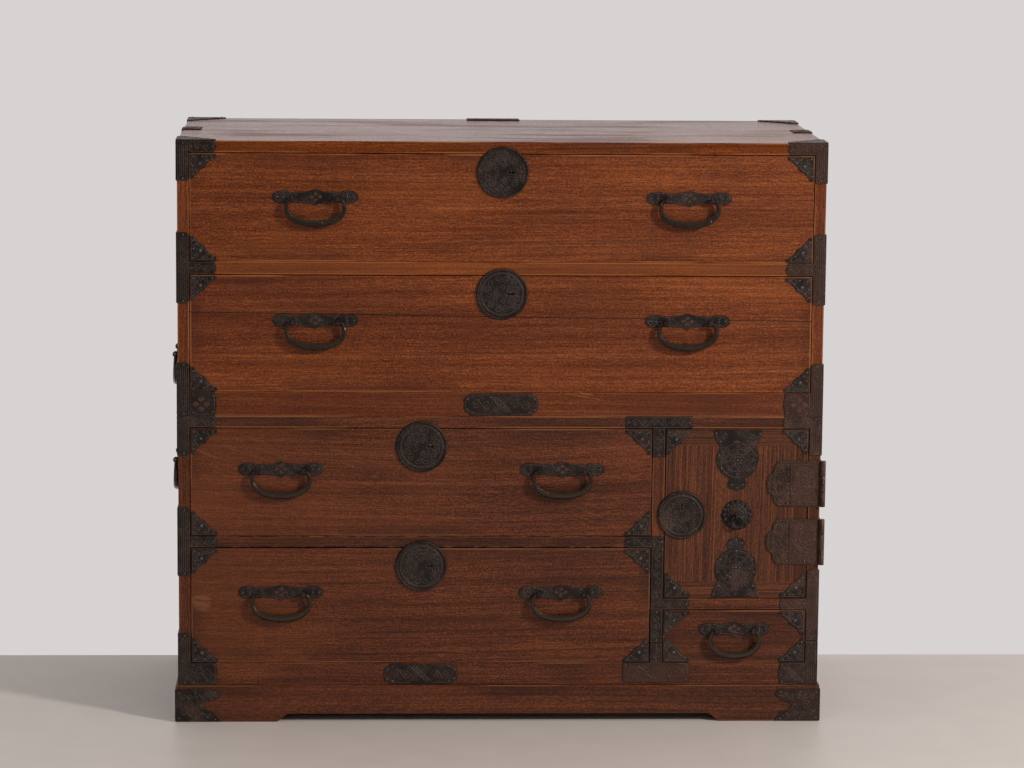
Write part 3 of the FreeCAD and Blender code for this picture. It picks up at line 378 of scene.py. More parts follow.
def top_board():
    """The top has the most lacquer, rubbed dull and dark in streaks, and it mirrors the wall."""
    board = worn_board("upper_top", "X", 20, UPPER_STAIN, 0.3, eased=1.0)
    rubbed = board.noise((board.at[0] * 4, board.at[1] * 16, board.at[2]), 5, 2.4)
    board.roughness = board.roughness * 0.8 + rubbed.rise(0.4, 1.0) * 0.18 - 0.05
    board.lay(rubbed.rise(0.55, 1.05) * 0.4, srgb(70, 36, 24))
    board.dress()


def plinth():
    """It has the least light and the most dust of the floor, its left foot above all."""
    board = worn_board("plinth", "X", 1, LOWER_STAIN, 0.5)
    board.shade(board.at[0].rise(-0.28, -0.42) * 0.18 + 0.08)
    board.dress()


plinth()
lower_rails()
upper_rails()
top_board()

# ---------------------------------------------------------------- drawers
# Wide drawer fronts of one or two boards with the grain across, and boxes of pale unstained wood behind
# them. The arrises of the fronts are worn light.

DRAWERS = ("drawer_1", "drawer_2", "drawer_3", "drawer_4", "small_drawer")
# Dents and a pale patch: start and end by X and Z, width, colour and strength.
MARKS = {
    "drawer_1": [
        ((-0.418, 0.733), (-0.394, 0.730), 1.2 * MM, UPPER_STAIN[0], 0.8),
        ((-0.424, 0.722), (-0.399, 0.724), 0.9 * MM, UPPER_STAIN[0], 0.7),
    ],
    "drawer_4": [((-0.466, 0.192), (-0.463, 0.190), 17 * MM, srgb(122, 78, 50), 0.7)],
}


def drawer_front(name, seed):
    """Drawer 2 has a seam between its boards, and drawers 3 and 4 are scratched and lighter at the left."""
    stain = UPPER_STAIN if name in DRAWERS[:2] else LOWER_STAIN
    board = Board(f"{name}_front", "X", seed, stain, eased=0.8)
    if name in ("drawer_3", "drawer_4"):
        board.scratches(40 + 15 * seed)
        board.lay(board.at[0].rise(-0.2, -0.42) * 0.22, board.stain[2])
    board.wear_edges(0.85)
    board.shade_gaps()
    for mark in MARKS.get(name, ()):
        board.scratch(*mark)
    if name == "drawer_2":
        seam = board.at[2] + board.at[0] * 0.012 - 0.6405
        board.lay(abs(seam).rise(1.2 * MM, 0.4 * MM) * 0.85, srgb(34, 18, 12))
    board.dress()


def drawer_box(name, seed):
    """The grain runs front to back in the sides and the bottom, and across in the back."""
    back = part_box(name)[1].y - 9 * MM
    across = lambda board: board.at[1].rise(back - 1e-5, back)
    worn_board(name, "Y", seed, INNER_WOOD, 0.6, bare=0.2, crossed=across).dress()


for seed, name in enumerate(DRAWERS, start=30):
    drawer_front(name, seed)
    drawer_box(f"{name}_box", seed + 10)

# ---------------------------------------------------------------- door boards
# Vertical boards between a top and a bottom batten, the driest and most deeply lined wood of the chest.
# It has lost most of its lacquer, so the light lines of its grain show.


def door_boards():
    low, high = (corner.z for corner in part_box("door_panel"))
    middle, batten = (low + high) / 2, (high - low) / 2 - 26 * MM
    crossed = lambda board: abs(board.at[2] - middle).rise(batten, batten + 1e-5)
    board = worn_board("door_panel", "Z", 50, DOOR_STAIN, 0.5, bare=0.3, eased=0.8, crossed=crossed)
    board.lay(board.grain(6, 950, 1, 2.8).rise(0.62, 0.95) * 0.34, srgb(160, 86, 36))
    board.dress()


door_boards()

# ---------------------------------------------------------------- ironwork
# Sheet iron cut with a chisel, blackened with lacquer while hot, engraved and nailed on. It has gone
# brown where hands and rust have reached it, and browner towards the right as painted light from the lamp.

IRON_DARK = srgb(32, 25, 23)
IRON_BLUE = srgb(57, 46, 43)
IRON_RUST = srgb(92, 60, 46)
IRON_WORN = srgb(92, 78, 70)
# brown of rubbed iron, also laid as painted light towards the lamp's side
IRON_RUBBED_AND_LIT = srgb(120, 72, 54)


class Iron(Finish):
    """Blackened sheet iron with a stippled ground. Rust is the share that has gone brown."""

    metal, depth = 0.5, 0.3 * MM

    def __init__(self, name, seed, rust):
        super().__init__(name)
        at = [part + seed * 1.37 for part in self.at]
        patches = self.noise([part * 40 for part in at], 3, 2.4)
        clouds = self.noise([part * 12 for part in at], 2, 2.0)
        dots = self.cells([part * 560 for part in at]).rise(0.2, 0.55)
        hammer = self.noise([part * 190 for part in at], 2, 2.0)
        x, y, z = (part * 130 for part in at)
        swirl = [self.noise((x + turn, y, z - turn), 1, 1.6) for turn in (3.0, 7.0, 11.0)]
        chased = self.cells([part * 210 + bend for part, bend in zip(at, swirl)], "DISTANCE_TO_EDGE")
        chased = chased.rise(0.12, 0.02) * patches.rise(0.3, 0.7)
        # brown is partly rust, in patches and lower down, and partly painted light: browner towards the
        # right, where the lamp is
        brown = clouds * 0.5 + patches * 0.5 + self.at[0] * 0.24 - self.at[2] * 0.2 + 0.07
        self.colour = self.mix(patches, IRON_DARK, IRON_BLUE)
        self.lay(brown.rise(0.8 - rust * 0.7, 1.15 - rust * 0.7), IRON_RUST)
        self.lay(dots * 0.5, IRON_DARK)
        self.lay(chased * 0.34, IRON_WORN)
        self.roughness = patches * 0.22 + 0.34
        self.height = hammer * 0.7 - dots * 0.5 + chased * 1.1


def iron(name, seed, rust):
    ease(name, 0.4)
    return Iron(name, seed, rust)


def upper_irons():
    """Black with lacquer, and lighter brown towards the right, partly rubbed and partly painted light."""
    finish = iron("upper_irons", 1, 0.3)
    finish.lay(0.6, IRON_DARK)
    # painted light: lighter brown towards the right, where the lamp is, over the rubbing
    finish.lay(finish.at[0].rise(-0.1, 0.5) * 0.2 + 0.02, IRON_RUBBED_AND_LIT)
    finish.dress()


def lower_irons():
    """Those in the middle and at the right foot are the blackest, and the foot of the divider is brown."""
    finish = iron("lower_irons", 2, 0.6)
    x, y, z = finish.at
    low, high = (corner.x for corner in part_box("lower_divider"))
    near, far = 60 * MM, 90 * MM
    middle = x.rise(-0.3, -0.24) * x.rise(high + far, high + near)
    right_foot = x.rise(high + near, high + far) * z.rise(0.16, 0.1)
    finish.lay(middle * 0.62 + right_foot * 0.55, IRON_DARK)
    foot = x.rise(low - near, low - 40 * MM) * x.rise(high + near, high + 40 * MM) * z.rise(0.1, 0.085)
    finish.lay(foot * 0.25 + x.rise(0.45, 0.49) * z.rise(0.3, 0.4) * 0.08, IRON_RUBBED_AND_LIT)
    finish.dress()


upper_irons()
lower_irons()
for seed, name in enumerate(DRAWERS, start=3):
    iron(f"{name}_irons", seed, 0.22).dress()
    if name != "small_drawer":
        iron(f"{name}_lock", seed + 10, 0.6).dress()
iron("door_lock", 21, 0.6).dress()


def tinted_iron(name, seed, share, tint):
    finish = Iron(name, seed, 0.4)
    finish.lay(share, tint)
    return finish.done()


LINE_IRON = tinted_iron("engraved_lines", 30, 0.65, srgb(104, 87, 78))
NAIL_IRON = tinted_iron("nail_heads", 31, 0.75, srgb(98, 90, 86))
FLOWER_IRON = tinted_iron("flowers", 32, 0.6, srgb(112, 64, 44))


def placed(name, data):
    made = bpy.data.objects.new(name, data)
    bpy.context.scene.collection.objects.link(made)
    return made


def piece(mesh, body):
    """One visible piece, named after its mesh, that moves with a body."""
    made = placed(mesh.name, mesh)
    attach(made, body)
    return made


class Tree(Graph):
    """A geometry node tree that works on the points or lines of one object, with named inputs."""

    def __init__(self, name, sizes):
        super().__init__(bpy.data.node_groups.new(name, "GeometryNodeTree"))
        face = self.tree.interface
        for way in ("INPUT", "OUTPUT"):
            face.new_socket("Geometry", in_out=way, socket_type="NodeSocketGeometry")
        face.new_socket("Finish", in_out="INPUT", socket_type="NodeSocketMaterial")
        for title, size in sizes.items():
            kind = "NodeSocketInt" if isinstance(size, int) else "NodeSocketFloat"
            face.new_socket(title, in_out="INPUT", socket_type=kind).default_value = size
        self.inputs = self.tree.nodes.new("NodeGroupInput")

    def given(self, title):
        return Field(self, self.inputs.outputs[title])

    def end(self, shape):
        """Realizes the instances and gives them their finish."""
        real = self.node("GeometryNodeRealizeInstances", None, {"Geometry": shape})
        sockets = {"Geometry": real, "Material": self.given("Finish")}
        self.node("NodeGroupOutput", None, {0: self.node("GeometryNodeSetMaterial", None, sockets)})

    def make(self, name, mesh, finish, **sizes):
        """The plain mesh that the tree makes of points or lines, which are used up."""
        source = placed(name, mesh)
        modifier = source.modifiers.new("made", "NODES")
        modifier.node_group = self.tree
        for title, content in {**sizes, "Finish": finish}.items():
            modifier[self.tree.interface.items_tree[title].identifier] = content
        graph = bpy.context.evaluated_depsgraph_get()
        made = bpy.data.meshes.new_from_object(source.evaluated_get(graph))
        bpy.data.meshes.remove(mesh)
        made.name = name
        return made


def nail_tree():
    """A low dome on each point, turned to look along the point's facing, each a little different."""
    made = Tree("nail_heads", {"Radius": 1.5 * MM, "Height": 0.8 * MM})
    radius, height = made.given("Radius"), made.given("Height")
    shape = made.node("ShaderNodeCombineXYZ", None, {"X": radius, "Y": radius, "Z": height})
    dome = made.node("GeometryNodeMeshUVSphere", None, {"Segments": 9, "Rings": 6, "Radius": 1.0})
    dome = made.node("GeometryNodeTransform", None, {"Geometry": dome, "Scale": shape})
    dome = made.node("GeometryNodeSetShadeSmooth", None, {"Geometry": dome})
    facing = made.node("GeometryNodeInputNamedAttribute", {"data_type": "FLOAT_VECTOR"}, {"Name": "facing"})
    turn = made.node("FunctionNodeAlignRotationToVector", {"axis": "Z"}, {"Vector": facing})
    size = made.node("GeometryNodeInputNamedAttribute", None, {"Name": "size"})
    uneven = made.node("FunctionNodeRandomValue", None, {2: 0.85, 3: 1.15, "Seed": 4}, 1)
    sockets = {"Points": made.given("Geometry"), "Instance": dome, "Rotation": turn, "Scale": size * uneven}
    made.end(made.node("GeometryNodeInstanceOnPoints", None, sockets))
    return made


def line_tree():
    """A bead of metal along each line, as a punch raises beside the line that it engraves."""
    made = Tree("engraved_lines", {"Bead": 0.45 * MM, "Sides": 5})
    path = made.node("GeometryNodeMeshToCurve", None, {"Mesh": made.given("Geometry")})
    sockets = {"Resolution": made.given("Sides"), "Radius": made.given("Bead")}
    section = made.node("GeometryNodeCurvePrimitiveCircle", None, sockets)
    sockets = {"Curve": path, "Profile Curve": section, "Fill Caps": True}
    bead = made.node("GeometryNodeCurveToMesh", None, sockets)
    made.end(made.node("GeometryNodeSetShadeSmooth", None, {"Geometry": bead}))
    return made


NAILS = nail_tree()
LINES = line_tree()


def heads(name, rows, finish):
    """Domes on places that have a facing and a size."""
    mesh = bpy.data.meshes.new(name)
    places, facings, sizes = zip(*rows)
    mesh.from_pydata(places, [], [])
    mesh.attributes.new("facing", "FLOAT_VECTOR", "POINT").data.foreach_set("vector", sum(facings, ()))
    mesh.attributes.new("size", "FLOAT", "POINT").data.foreach_set("value", sizes)
    return NAILS.make(name, mesh, finish)


def wires(name, lines):
    """A mesh of the edges of several lines, each given by its points and whether it is closed."""
    points, edges = [], []
    for steps, closed in lines:
        first = len(points)
        points += steps
        edges += [(first + index, first + index + 1) for index in range(len(steps) - 1)]
        if closed:
            edges.append((len(points) - 1, first))
    mesh = bpy.data.meshes.new(name)
    mesh.from_pydata(points, edges, [])
    return mesh


def beads(name, lines, finish, **sizes):
    """A bead along each line. Sizes are Bead, its radius, and Sides."""
    return LINES.make(name, wires(name, lines), finish, **sizes)


def rectangle(left, bottom, right, top):
    return [(left, bottom), (right, bottom), (right, top), (left, top)]


def around(count, radius):
    """Places on a circle, by across and up."""
    angles = (math.tau * index / count for index in range(count))
    return [(radius * math.cos(angle), radius * math.sin(angle)) for angle in angles]


class Work:
    """Nails, engraved lines and flowers of one body, each drawn on a flat face by across and up, in mm."""

    def __init__(self, body):
        self.body = body
        self.nails, self.lines, self.petals = [], [], []

    def on(self, plane, across, up=0.0, mirror=1, flip=1):
        """Chooses the face that the next marks go on, and where on it their origin is."""
        self.point = lambda x, y: plane(across + x * MM * mirror, up + y * MM * flip)

    def nail(self, *places, size=1.0):
        self.nails += [(*self.point(*place), size) for place in places]

    def line(self, steps, closed=False):
        self.lines.append(([self.point(*step)[0] for step in steps], closed))

    def ring(self, across, up, radius, steps):
        self.line([(across + x, up + y) for x, y in around(steps, radius)], True)

    def curl(self, across, up, radius, start, turns):
        """A tendril that rolls inwards from its start angle, in degrees."""
        count = max(6, round(abs(turns) * 12))
        steps = []
        for share in (index / count for index in range(count + 1)):
            angle = math.radians(start + 360 * turns * share)
            reach = radius * (1 - 0.82 * share)
            steps.append((across + reach * math.cos(angle), up + reach * math.sin(angle)))
        self.line(steps)

    def tendril(self, start, end, width):
        """A stem that winds from start to end, with a curl in each of its bends."""
        start = Vector(start)
        run = Vector(end) - start
        left = Vector((-run.y, run.x)).normalized() * width
        bends = max(2, round(run.length / width / 0.9))
        count = bends * 6
        waves = [left * 0.36 * math.sin(index * math.pi / 6) for index in range(count + 1)]
        self.line([start + run * index / count + wave for index, wave in enumerate(waves)])
        for index in range(bends):
            side = -1 if index % 2 else 1
            middle = start + run * (index + 0.5) / bends - left * 0.05 * side
            turn = math.degrees(math.atan2(left.y * side, left.x * side))
            self.curl(*middle, width * 0.26, turn, side * 1.4)

    def stripes(self, start, end, width):
        """Fine lines side by side."""
        start, end = Vector(start), Vector(end)
        left = Vector((start.y - end.y, end.x - start.x)).normalized() * width
        for share in (-0.3, -0.1, 0.1, 0.3):
            self.line([start + left * share, end + left * share])

    def bars(self, start, end, width):
        """Crossed pairs of slanting bars in the middle."""
        middle = (Vector(start) + Vector(end)) / 2
        reach = width * 0.36
        for slant in (Vector((reach, -reach)), Vector((reach, reach))):
            for shift in (-5.0, -1.7, 1.7, 5.0):
                place = middle + Vector((shift, 0.0))
                self.line([place + slant, place - slant])

    def flower(self, across, up, wide, high):
        """Four diamonds set in a diamond, small raised fields that rust where their lacquer has gone."""
        reach, tall = wide * 0.17, high * 0.17
        for side, rise in ((-1, 0), (1, 0), (0, -1), (0, 1)):
            x, y = across + side * wide * 0.29, up + rise * high * 0.29
            rim = [(x - reach, y), (x, y - tall), (x + reach, y), (x, y + tall)]
            crest, facing = self.point(x, y)
            crest += Vector(facing) * 0.35 * MM
            self.petals.append(([self.point(*step)[0] for step in rim], crest))
            self.line(rim, True)

    def field(self, low, high, pattern):
        """A rectangular part of a plate: a border, nails near its ends and a pattern along its length."""
        (left, bottom), (right, top) = low, high
        border, near, pause = 1.5, 4.0, 7.0
        wide, tall = right - left, top - bottom
        middle, level = (left + right) / 2, (bottom + top) / 2
        self.line(rectangle(left + border, bottom + border, right - border, top - border), True)
        across = (middle,) if wide < 24 <= tall else (left + near, right - near)
        rows = (level,) if tall < 24 else (bottom + near, top - near)
        self.nail(*[(x, y) for x in across for y in rows])
        if tall > wide:
            ends = (middle, bottom + pause), (middle, top - pause)
        else:
            ends = (left + pause, level), (right - pause, level)
        pattern(*ends, min(wide, tall) - 2 * border)

    def finish(self):
        """One piece of each kind of mark that the body has."""
        if self.nails:
            piece(heads(f"{self.body}_nails", self.nails, NAIL_IRON), self.body)
        if self.lines:
            piece(beads(f"{self.body}_lines", self.lines, LINE_IRON), self.body)
        if self.petals:
            piece(self.flowers(f"{self.body}_flowers"), self.body)

    def flowers(self, name):
        made = bmesh.new()
        for rim, crest in self.petals:
            corners = [made.verts.new(place) for place in rim]
            top = made.verts.new(crest)
            for start, end in zip(corners, corners[1:] + corners[:1]):
                made.faces.new((start, end, top))
            made.faces.new(corners[::-1])
        bmesh.ops.recalc_face_normals(made, faces=made.faces)
        mesh = bpy.data.meshes.new(name)
        made.to_mesh(mesh)
        made.free()
        mesh.materials.append(FLOWER_IRON)
        return mesh


def facing_front(y):
    return lambda across, up: (Vector((across, y, up)), (0.0, -1.0, 0.0))


def facing_side(x):
    outward = math.copysign(1.0, x)
    return lambda across, up: (Vector((x, across, up)), (outward, 0.0, 0.0))


def facing_up(z):
    return lambda across, up: (Vector((across, up, z)), (0.0, 0.0, 1.0))


works = {body: Work(body) for body in frame["bodies"]}
PLATE = 1.6 * MM
CASE_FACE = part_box("upper_side_left")[0].y - PLATE
HALF_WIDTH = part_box("upper_side_right")[1].x
FLOOR = {case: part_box(f"{case}_side_left")[0].z for case in ("upper", "lower")}
TOP = {case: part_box(f"{case}_top")[1].z for case in ("upper", "lower")}
drawer_top = {name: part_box(f"{name}_front")[1].z + 1.4 * MM for name in DRAWERS}
drawer_bottom = {name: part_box(f"{name}_front")[0].z - 0.4 * MM for name in DRAWERS}
# Of a corner iron, in mm: its leaf on the stile, its arm along the rail and its leaf round the corner.
LEAF, ARM, WRAP = 18, 58, 45


def corner_iron(case, side, low, high, arm_low, arm_high, pattern="tendril"):
    """The leaf on the stile, the arm along the rail and the leaf round the corner."""
    work = works[f"{case}_case"]
    low, high, arm_low, arm_high = (level / MM for level in (low, high, arm_low, arm_high))
    work.on(facing_front(CASE_FACE), side * HALF_WIDTH, 0.0, -side)
    work.field((0, low), (LEAF, high), work.stripes)
    if pattern == "flower":
        work.line(rectangle(LEAF + 1.5, arm_low + 1.5, ARM - 2, arm_high - 1.5), True)
        work.flower(36, (arm_low + arm_high) / 2, 30, 26)
        work.nail((24, arm_low + 5), (24, arm_high - 5), (54, arm_low + 6), (54, arm_high - 6))
    else:
        work.field((LEAF, arm_low), (ARM, arm_high), getattr(work, pattern))
    work.on(facing_side(side * (HALF_WIDTH + PLATE)), CASE_FACE + PLATE)
    work.field((0, low), (WRAP, high), work.tendril)


def rail_levels(above, below):
    """A T iron's leaf and arm, at the rail between two drawers."""
    low, high = drawer_top[below], drawer_bottom[above]
    return low - 45 * MM, high + 45 * MM, low, high


TOP_LEAF, FOOT_LEAF = 62 * MM, 83 * MM
floor, top = FLOOR["upper"], TOP["upper"]
for side in (-1, 1):
    corner_iron("upper", side, top - TOP_LEAF, top, top - 18 * MM, top)
    corner_iron("upper", side, *rail_levels("drawer_1", "drawer_2"))
    corner_iron("upper", side, floor, floor + FOOT_LEAF, floor, drawer_bottom["drawer_2"], "flower")
floor, top = FLOOR["lower"], TOP["lower"]
corner_iron("lower", -1, top - TOP_LEAF, top, top - 18.5 * MM, top)
corner_iron("lower", -1, *rail_levels("drawer_3", "drawer_4"))
corner_iron("lower", -1, floor, floor + FOOT_LEAF, floor, drawer_bottom["drawer_4"])
shelf_low, shelf_high = drawer_top["small_drawer"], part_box("door_panel")[0].z - 1.2 * MM
hinge_low, hinge_high = (corner.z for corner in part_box("door_hinge_leaves"))
corner_iron("lower", 1, hinge_high + 8.5 * MM, top, top - 18.5 * MM, top, "stripes")
corner_iron("lower", 1, floor + 70.5 * MM, hinge_low - 8.5 * MM, shelf_low, shelf_high)
corner_iron("lower", 1, floor, floor + 70 * MM, floor, drawer_bottom["drawer_4"], "bars")


def divider_marks():
    """A tendril along each part of the irons on the divider."""
    work = works["lower_case"]
    low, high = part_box("lower_divider")
    work.on(facing_front(CASE_FACE), (low.x + high.x) / 2)
    opening, rail_low, rail_high = high.z, drawer_top["drawer_4"], drawer_bottom["drawer_3"]
    foot, stem, arm, bar = drawer_bottom["drawer_4"], 9.5, 50, 51.5
    for left, bottom, right, upper in (
        (-bar, opening, bar, top),
        (-stem, opening - 45 * MM, stem, opening),
        (-arm, rail_low, stem, rail_high),
        (-stem, shelf_high, stem, rail_low),
        (-stem, shelf_low, arm, shelf_high),
        (-stem, foot + 32 * MM, stem, shelf_low),
        (-stem, foot, stem, foot + 31 * MM),
        (-bar, floor + 4 * MM, bar, foot),
    ):
        work.field((left, bottom / MM), (right, upper / MM), work.tendril)


def centre_marks(case, middle, high):
    """Crossed bars between two lobes."""
    work = works[f"{case}_case"]
    work.on(facing_front(CASE_FACE), middle, FLOOR[case] + 1.5 * MM)
    tall = (high - FLOOR[case]) / MM - 3.0
    lobe = [(15, 2), (46, 2), (48, 6.5), (54, 6.5), (56, tall / 2)]
    for side in (-1, 1):
        work.line([(side * x, y) for x, y in lobe])
        work.line([(side * x, tall - y) for x, y in lobe])
        work.nail((side * 52, 9), (side * 52, tall - 9), (side * 44, 4.5), (side * 44, tall - 4.5))
        work.tendril((side * 46, tall / 2), (side * 15, tall / 2), tall * 0.62)
    work.bars((-12, tall / 2), (12, tall / 2), tall)


def plinth_marks():
    """Nails and a cloud of tendrils on the irons at the plinth's two front corners."""
    work = works["lower_case"]
    low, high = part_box("plinth")
    for side in (-1, 1):
        front = facing_front(low.y - PLATE), side * high.x, 0.0, -side
        for face in (front, (facing_side(side * (high.x + PLATE)), low.y)):
            work.on(*face)
            work.nail((5, 6), (5, 46), (61, 4), (61, 47), (62, 41), (38, 27), (30, 47), (30, 5))
            work.tendril((6, 14), (58, 10), 13)
            work.tendril((6, 39), (60, 42), 13)
            work.curl(20, 26, 8, 0, 1.6)


def top_marks():
    """Nails and a tendril on the irons that lie on the top board, and fields on their side leaves."""
    work = works["upper_case"]
    low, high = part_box("upper_top")
    above, middle = facing_up(high.z + PLATE), (low.y + high.y) / 2
    for side in (-1, 1):
        for edge, flip in ((low.y, 1), (high.y, -1)):
            work.on(above, side * HALF_WIDTH, edge, -side, flip)
            work.nail((5, 5), (5, 54), (54, 5), (30, 12), (12, 30), (26, 26))
            work.tendril((8, 50), (50, 8), 12)
        work.on(above, side * HALF_WIDTH, middle, -side)
        work.field((0, -20), (27, 20), work.tendril)
        for across, left, right in ((middle, -20, 20), (high.y, -48, 0)):
            work.on(facing_side(side * (HALF_WIDTH + PLATE)), across, high.z)
            work.field((left, -62), (right, 0), work.tendril)
    work.on(above, 0.0, high.y)
    work.field((-43.5, -24), (43.5, 0), work.tendril)


divider_marks()
centre_marks("upper", 0.0, drawer_bottom["drawer_2"])
centre_marks("lower", sum(corner.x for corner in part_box("drawer_4_front")) / 2, drawer_bottom["drawer_4"])
plinth_marks()
top_marks()

# ---------------------------------------------------------------- bails
# Each bail is forged from a bar, thickest where the hand takes it, its two ends turned inwards through
# split posts. The bar keeps the flats of the hammer.


def bail_iron():
    """Smoother than the plates, and polished by hands."""
    finish = Iron("bails", 40, 0.15)
    finish.lay(0.75, srgb(84, 73, 64))
    finish.roughness = finish.roughness * 0.55
    finish.height = finish.height * 0.35
    finish.metal = 0.85
    return finish.done()


def bail_tree():
    """A bar with eight flats along the line, thin at both ends and thick in its middle."""
    made = Tree("forged_bail", {"Ends": 4.8 * MM, "Middle": 11.0 * MM})
    path = made.node("GeometryNodeMeshToCurve", None, {"Mesh": made.given("Geometry")})
    wave = made.maths("SINE", made.node("GeometryNodeSplineParameter") * math.pi)
    thick = wave * (made.given("Middle") - made.given("Ends")) + made.given("Ends")
    section = made.node("GeometryNodeCurvePrimitiveCircle", None, {"Resolution": 8, "Radius": 0.541})
    sockets = {"Geometry": section, "Rotation": (0.0, 0.0, math.radians(22.5))}
    section = made.node("GeometryNodeTransform", None, sockets)
    sockets = {"Curve": path, "Profile Curve": section, "Scale": thick, "Fill Caps": True}
    made.end(made.node("GeometryNodeCurveToMesh", None, sockets))
    return made


BAIL_IRON = bail_iron()
BAILS = bail_tree()


def bail_line(half, drop):
    """A full bow that closes a little towards its shoulders, and whose ends turn in to the axis."""
    shoulder = 14.0
    reach, depth = half - 4.4, drop - 5.5 - shoulder
    tuck, steps = 6.6, []
    for index in range(15):
        angle = math.radians(-90 + 90 * index / 14)
        steps.append((reach * math.cos(angle) ** 0.9, -shoulder + depth * math.sin(angle)))
    for share in (0.3, 0.6, 0.85):
        angle = math.radians(90 * share)
        steps.append((reach - tuck * (1 - math.cos(angle)), -shoulder + shoulder * math.sin(angle)))
    return [(-across, up) for across, up in reversed(steps[1:])] + steps


def forged_bail(name, joint):
    """The bow and the two round pins at its ends, which turn in the posts."""
    low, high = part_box(name)
    size = high - low
    axis = Vector(joint["pos_m"])
    half = max(size.x, size.y) / 2 / MM
    along = Vector((0.0, MM, 0.0)) if size.y > size.x else Vector((MM, 0.0, 0.0))
    steps = bail_line(half, (axis.z - low.z) / MM)
    line = [axis + along * across + Vector((0.0, 0.0, up * MM)) for across, up in steps]
    bow = BAILS.make(f"{name}_forged", wires(name, [(line, False)]), BAIL_IRON)
    reach = (half - 18.2, steps[-1][0] + 1.5)
    ends = [([axis + along * side * across for across in reach], False) for side in (-1, 1)]
    pins = beads(f"{name}_pins", ends, BAIL_IRON, Bead=2.3 * MM, Sides=10)
    forging = bmesh.new()
    forging.from_mesh(bow)
    forging.from_mesh(pins)
    forging.to_mesh(bow)
    forging.free()
    bow.shade_smooth()
    bow.set_sharp_from_angle(angle=math.radians(32))
    bail = piece(bow, name)
    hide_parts(name)


for joint in frame["joints"]:
    if "_handle" in joint["name"]:
        forged_bail(joint["child"], joint)

# ---------------------------------------------------------------- drawer irons
# Three-cornered plates nailed over the corners of each front, a long plate behind each bail with a
# flower of four petals, and on the wide drawers a round lock plate with a raised rim.


def mark_corner_plates(work, low, high):
    """A rim along the cut edge, tendrils inside it, and nails, of which one is large."""
    for x, right in ((low.x, -1), (high.x, 1)):
        for z, up in ((low.z, -1), (high.z, 1)):
            work.on(facing_front(low.y - PLATE), x - right * MM, z - up * MM, -right, -up)
            work.nail((4, 4), (33, 4), (4, 31), (19, 4.5), (4.5, 18), (27, 10), (10, 25))
            work.nail((15, 15), size=2.1)
            work.line([(38, 1.4), (1.4, 1.4), (1.4, 36)])
            work.line([(37, 5.5), (27, 9.5), (21, 17.5), (11, 25), (5.5, 35)])
            work.curl(8.5, 8.5, 4.2, 225, 1.3)
            work.curl(24, 6.5, 3.4, 180, 1.2)
            work.curl(6.5, 23.5, 3.4, 270, -1.2)


def mark_handle_plate(work, half):
    """A lobed leaf at each end, and a flower between the posts."""
    leaf = [(half - 27, 6.0), (half - 22, 8.4), (half - 12.5, 8.0), (half - 7, 4.6), (half - 2, 0.0)]
    for side in (-1, 1):
        work.nail((side * (half - 17), 0), (side * (half - 7), 0))
        work.line([(side * x, y) for x, y in leaf + [(x, -y) for x, y in leaf[-2::-1]]])
        for rise in (-1, 1):
            work.curl(side * (half - 17), rise * 4.6, 3.2, 90 - 90 * side, side * rise * 1.2)
            work.curl(side * (half - 36), rise * 3.4, 3.0, 90 - 90 * side, side * rise * 1.2)
        work.line([(side * 12, 7.6), (side * (half - 29), 6.0)])
        work.line([(side * 10, -8.0), (side * (half - 29), -6.0)])
    work.flower(0, 0.4, 23, 16)


def mark_lock(work, across, up, face, radius, rings, hole):
    """An edge beaten up into a round rim, rings and tendrils inside it, and the pin for the key."""
    rim = [(across + x, face, up + z) for x, z in around(48, (radius - 1.8) * MM)]
    pin = [(across + hole[0] * MM, face + depth, up + hole[1] * MM) for depth in (0.0, 12.0 * MM)]
    finish = nodes[f"{work.body}_lock"].data.materials[0]
    for part, steps, closed, bead in (("rim", rim, True, 1.3), ("pin", pin, False, 0.8)):
        shape = beads(f"{work.body}_lock_{part}", [(steps, closed)], finish, Bead=bead * MM, Sides=8)
        piece(shape, work.body)
    work.on(facing_front(face), across, up)
    for share in rings:
        work.ring(0, 0, radius * share, 56)
    work.ring(*hole, 3.0, 12)
    for count, reach, size in ((12, 0.6, 0.15), (6, 0.27, 0.11)):
        for index in range(count):
            angle = math.tau * (index + 0.5) / count
            x, y = radius * reach * math.cos(angle), radius * reach * math.sin(angle)
            if math.hypot(x - hole[0] * 1.3, y - hole[1] * 1.3) > 8:
                turns = 1.3 if index % 2 else -1.3
                work.curl(x, y, radius * size, math.degrees(angle) + 180, turns)


LOCK_PLATE, LOCK_DROP, POST_DROP = 2.4 * MM, 29 * MM, 3.0 * MM
# Half the width of each plate, in mm, and the rings of a lock as shares of that.
LOCK_RADIUS, DOOR_LOCK_RADIUS, WIDE_PLATE, SMALL_PLATE = 40.0, 38.0, 66.0, 56.5
LOCK_RINGS = (0.83, 0.79)
for name in DRAWERS:
    low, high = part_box(f"{name}_front")
    work = works[name]
    mark_corner_plates(work, low, high)
    for joint in frame["joints"]:
        if joint["parent"] == name and joint["type"] == "hinge":
            x, y, z = joint["pos_m"]
            work.on(facing_front(low.y - PLATE), x, z + POST_DROP)
            mark_handle_plate(work, SMALL_PLATE if name == "small_drawer" else WIDE_PLATE)
    if name != "small_drawer":
        rings = () if name == "drawer_1" else LOCK_RINGS
        place = (low.x + high.x) / 2, drawer_top[name] - LOCK_DROP, low.y - LOCK_PLATE
        mark_lock(work, *place, LOCK_RADIUS, rings, (10, 0))
for joint in frame["joints"]:
    if joint["name"].startswith(("upper_handle", "lower_handle")):
        x, y, z = joint["pos_m"]
        work = works[joint["parent"]]
        work.on(facing_side(math.copysign(HALF_WIDTH + PLATE, x)), y, z + POST_DROP)
        mark_handle_plate(work, WIDE_PLATE)

# ---------------------------------------------------------------- door furniture
# Strap ornaments at the top and the bottom of the door, a petalled rosette with a drop ring between
# them, a lock plate, and two wrap-round hinges with engraved leaves.

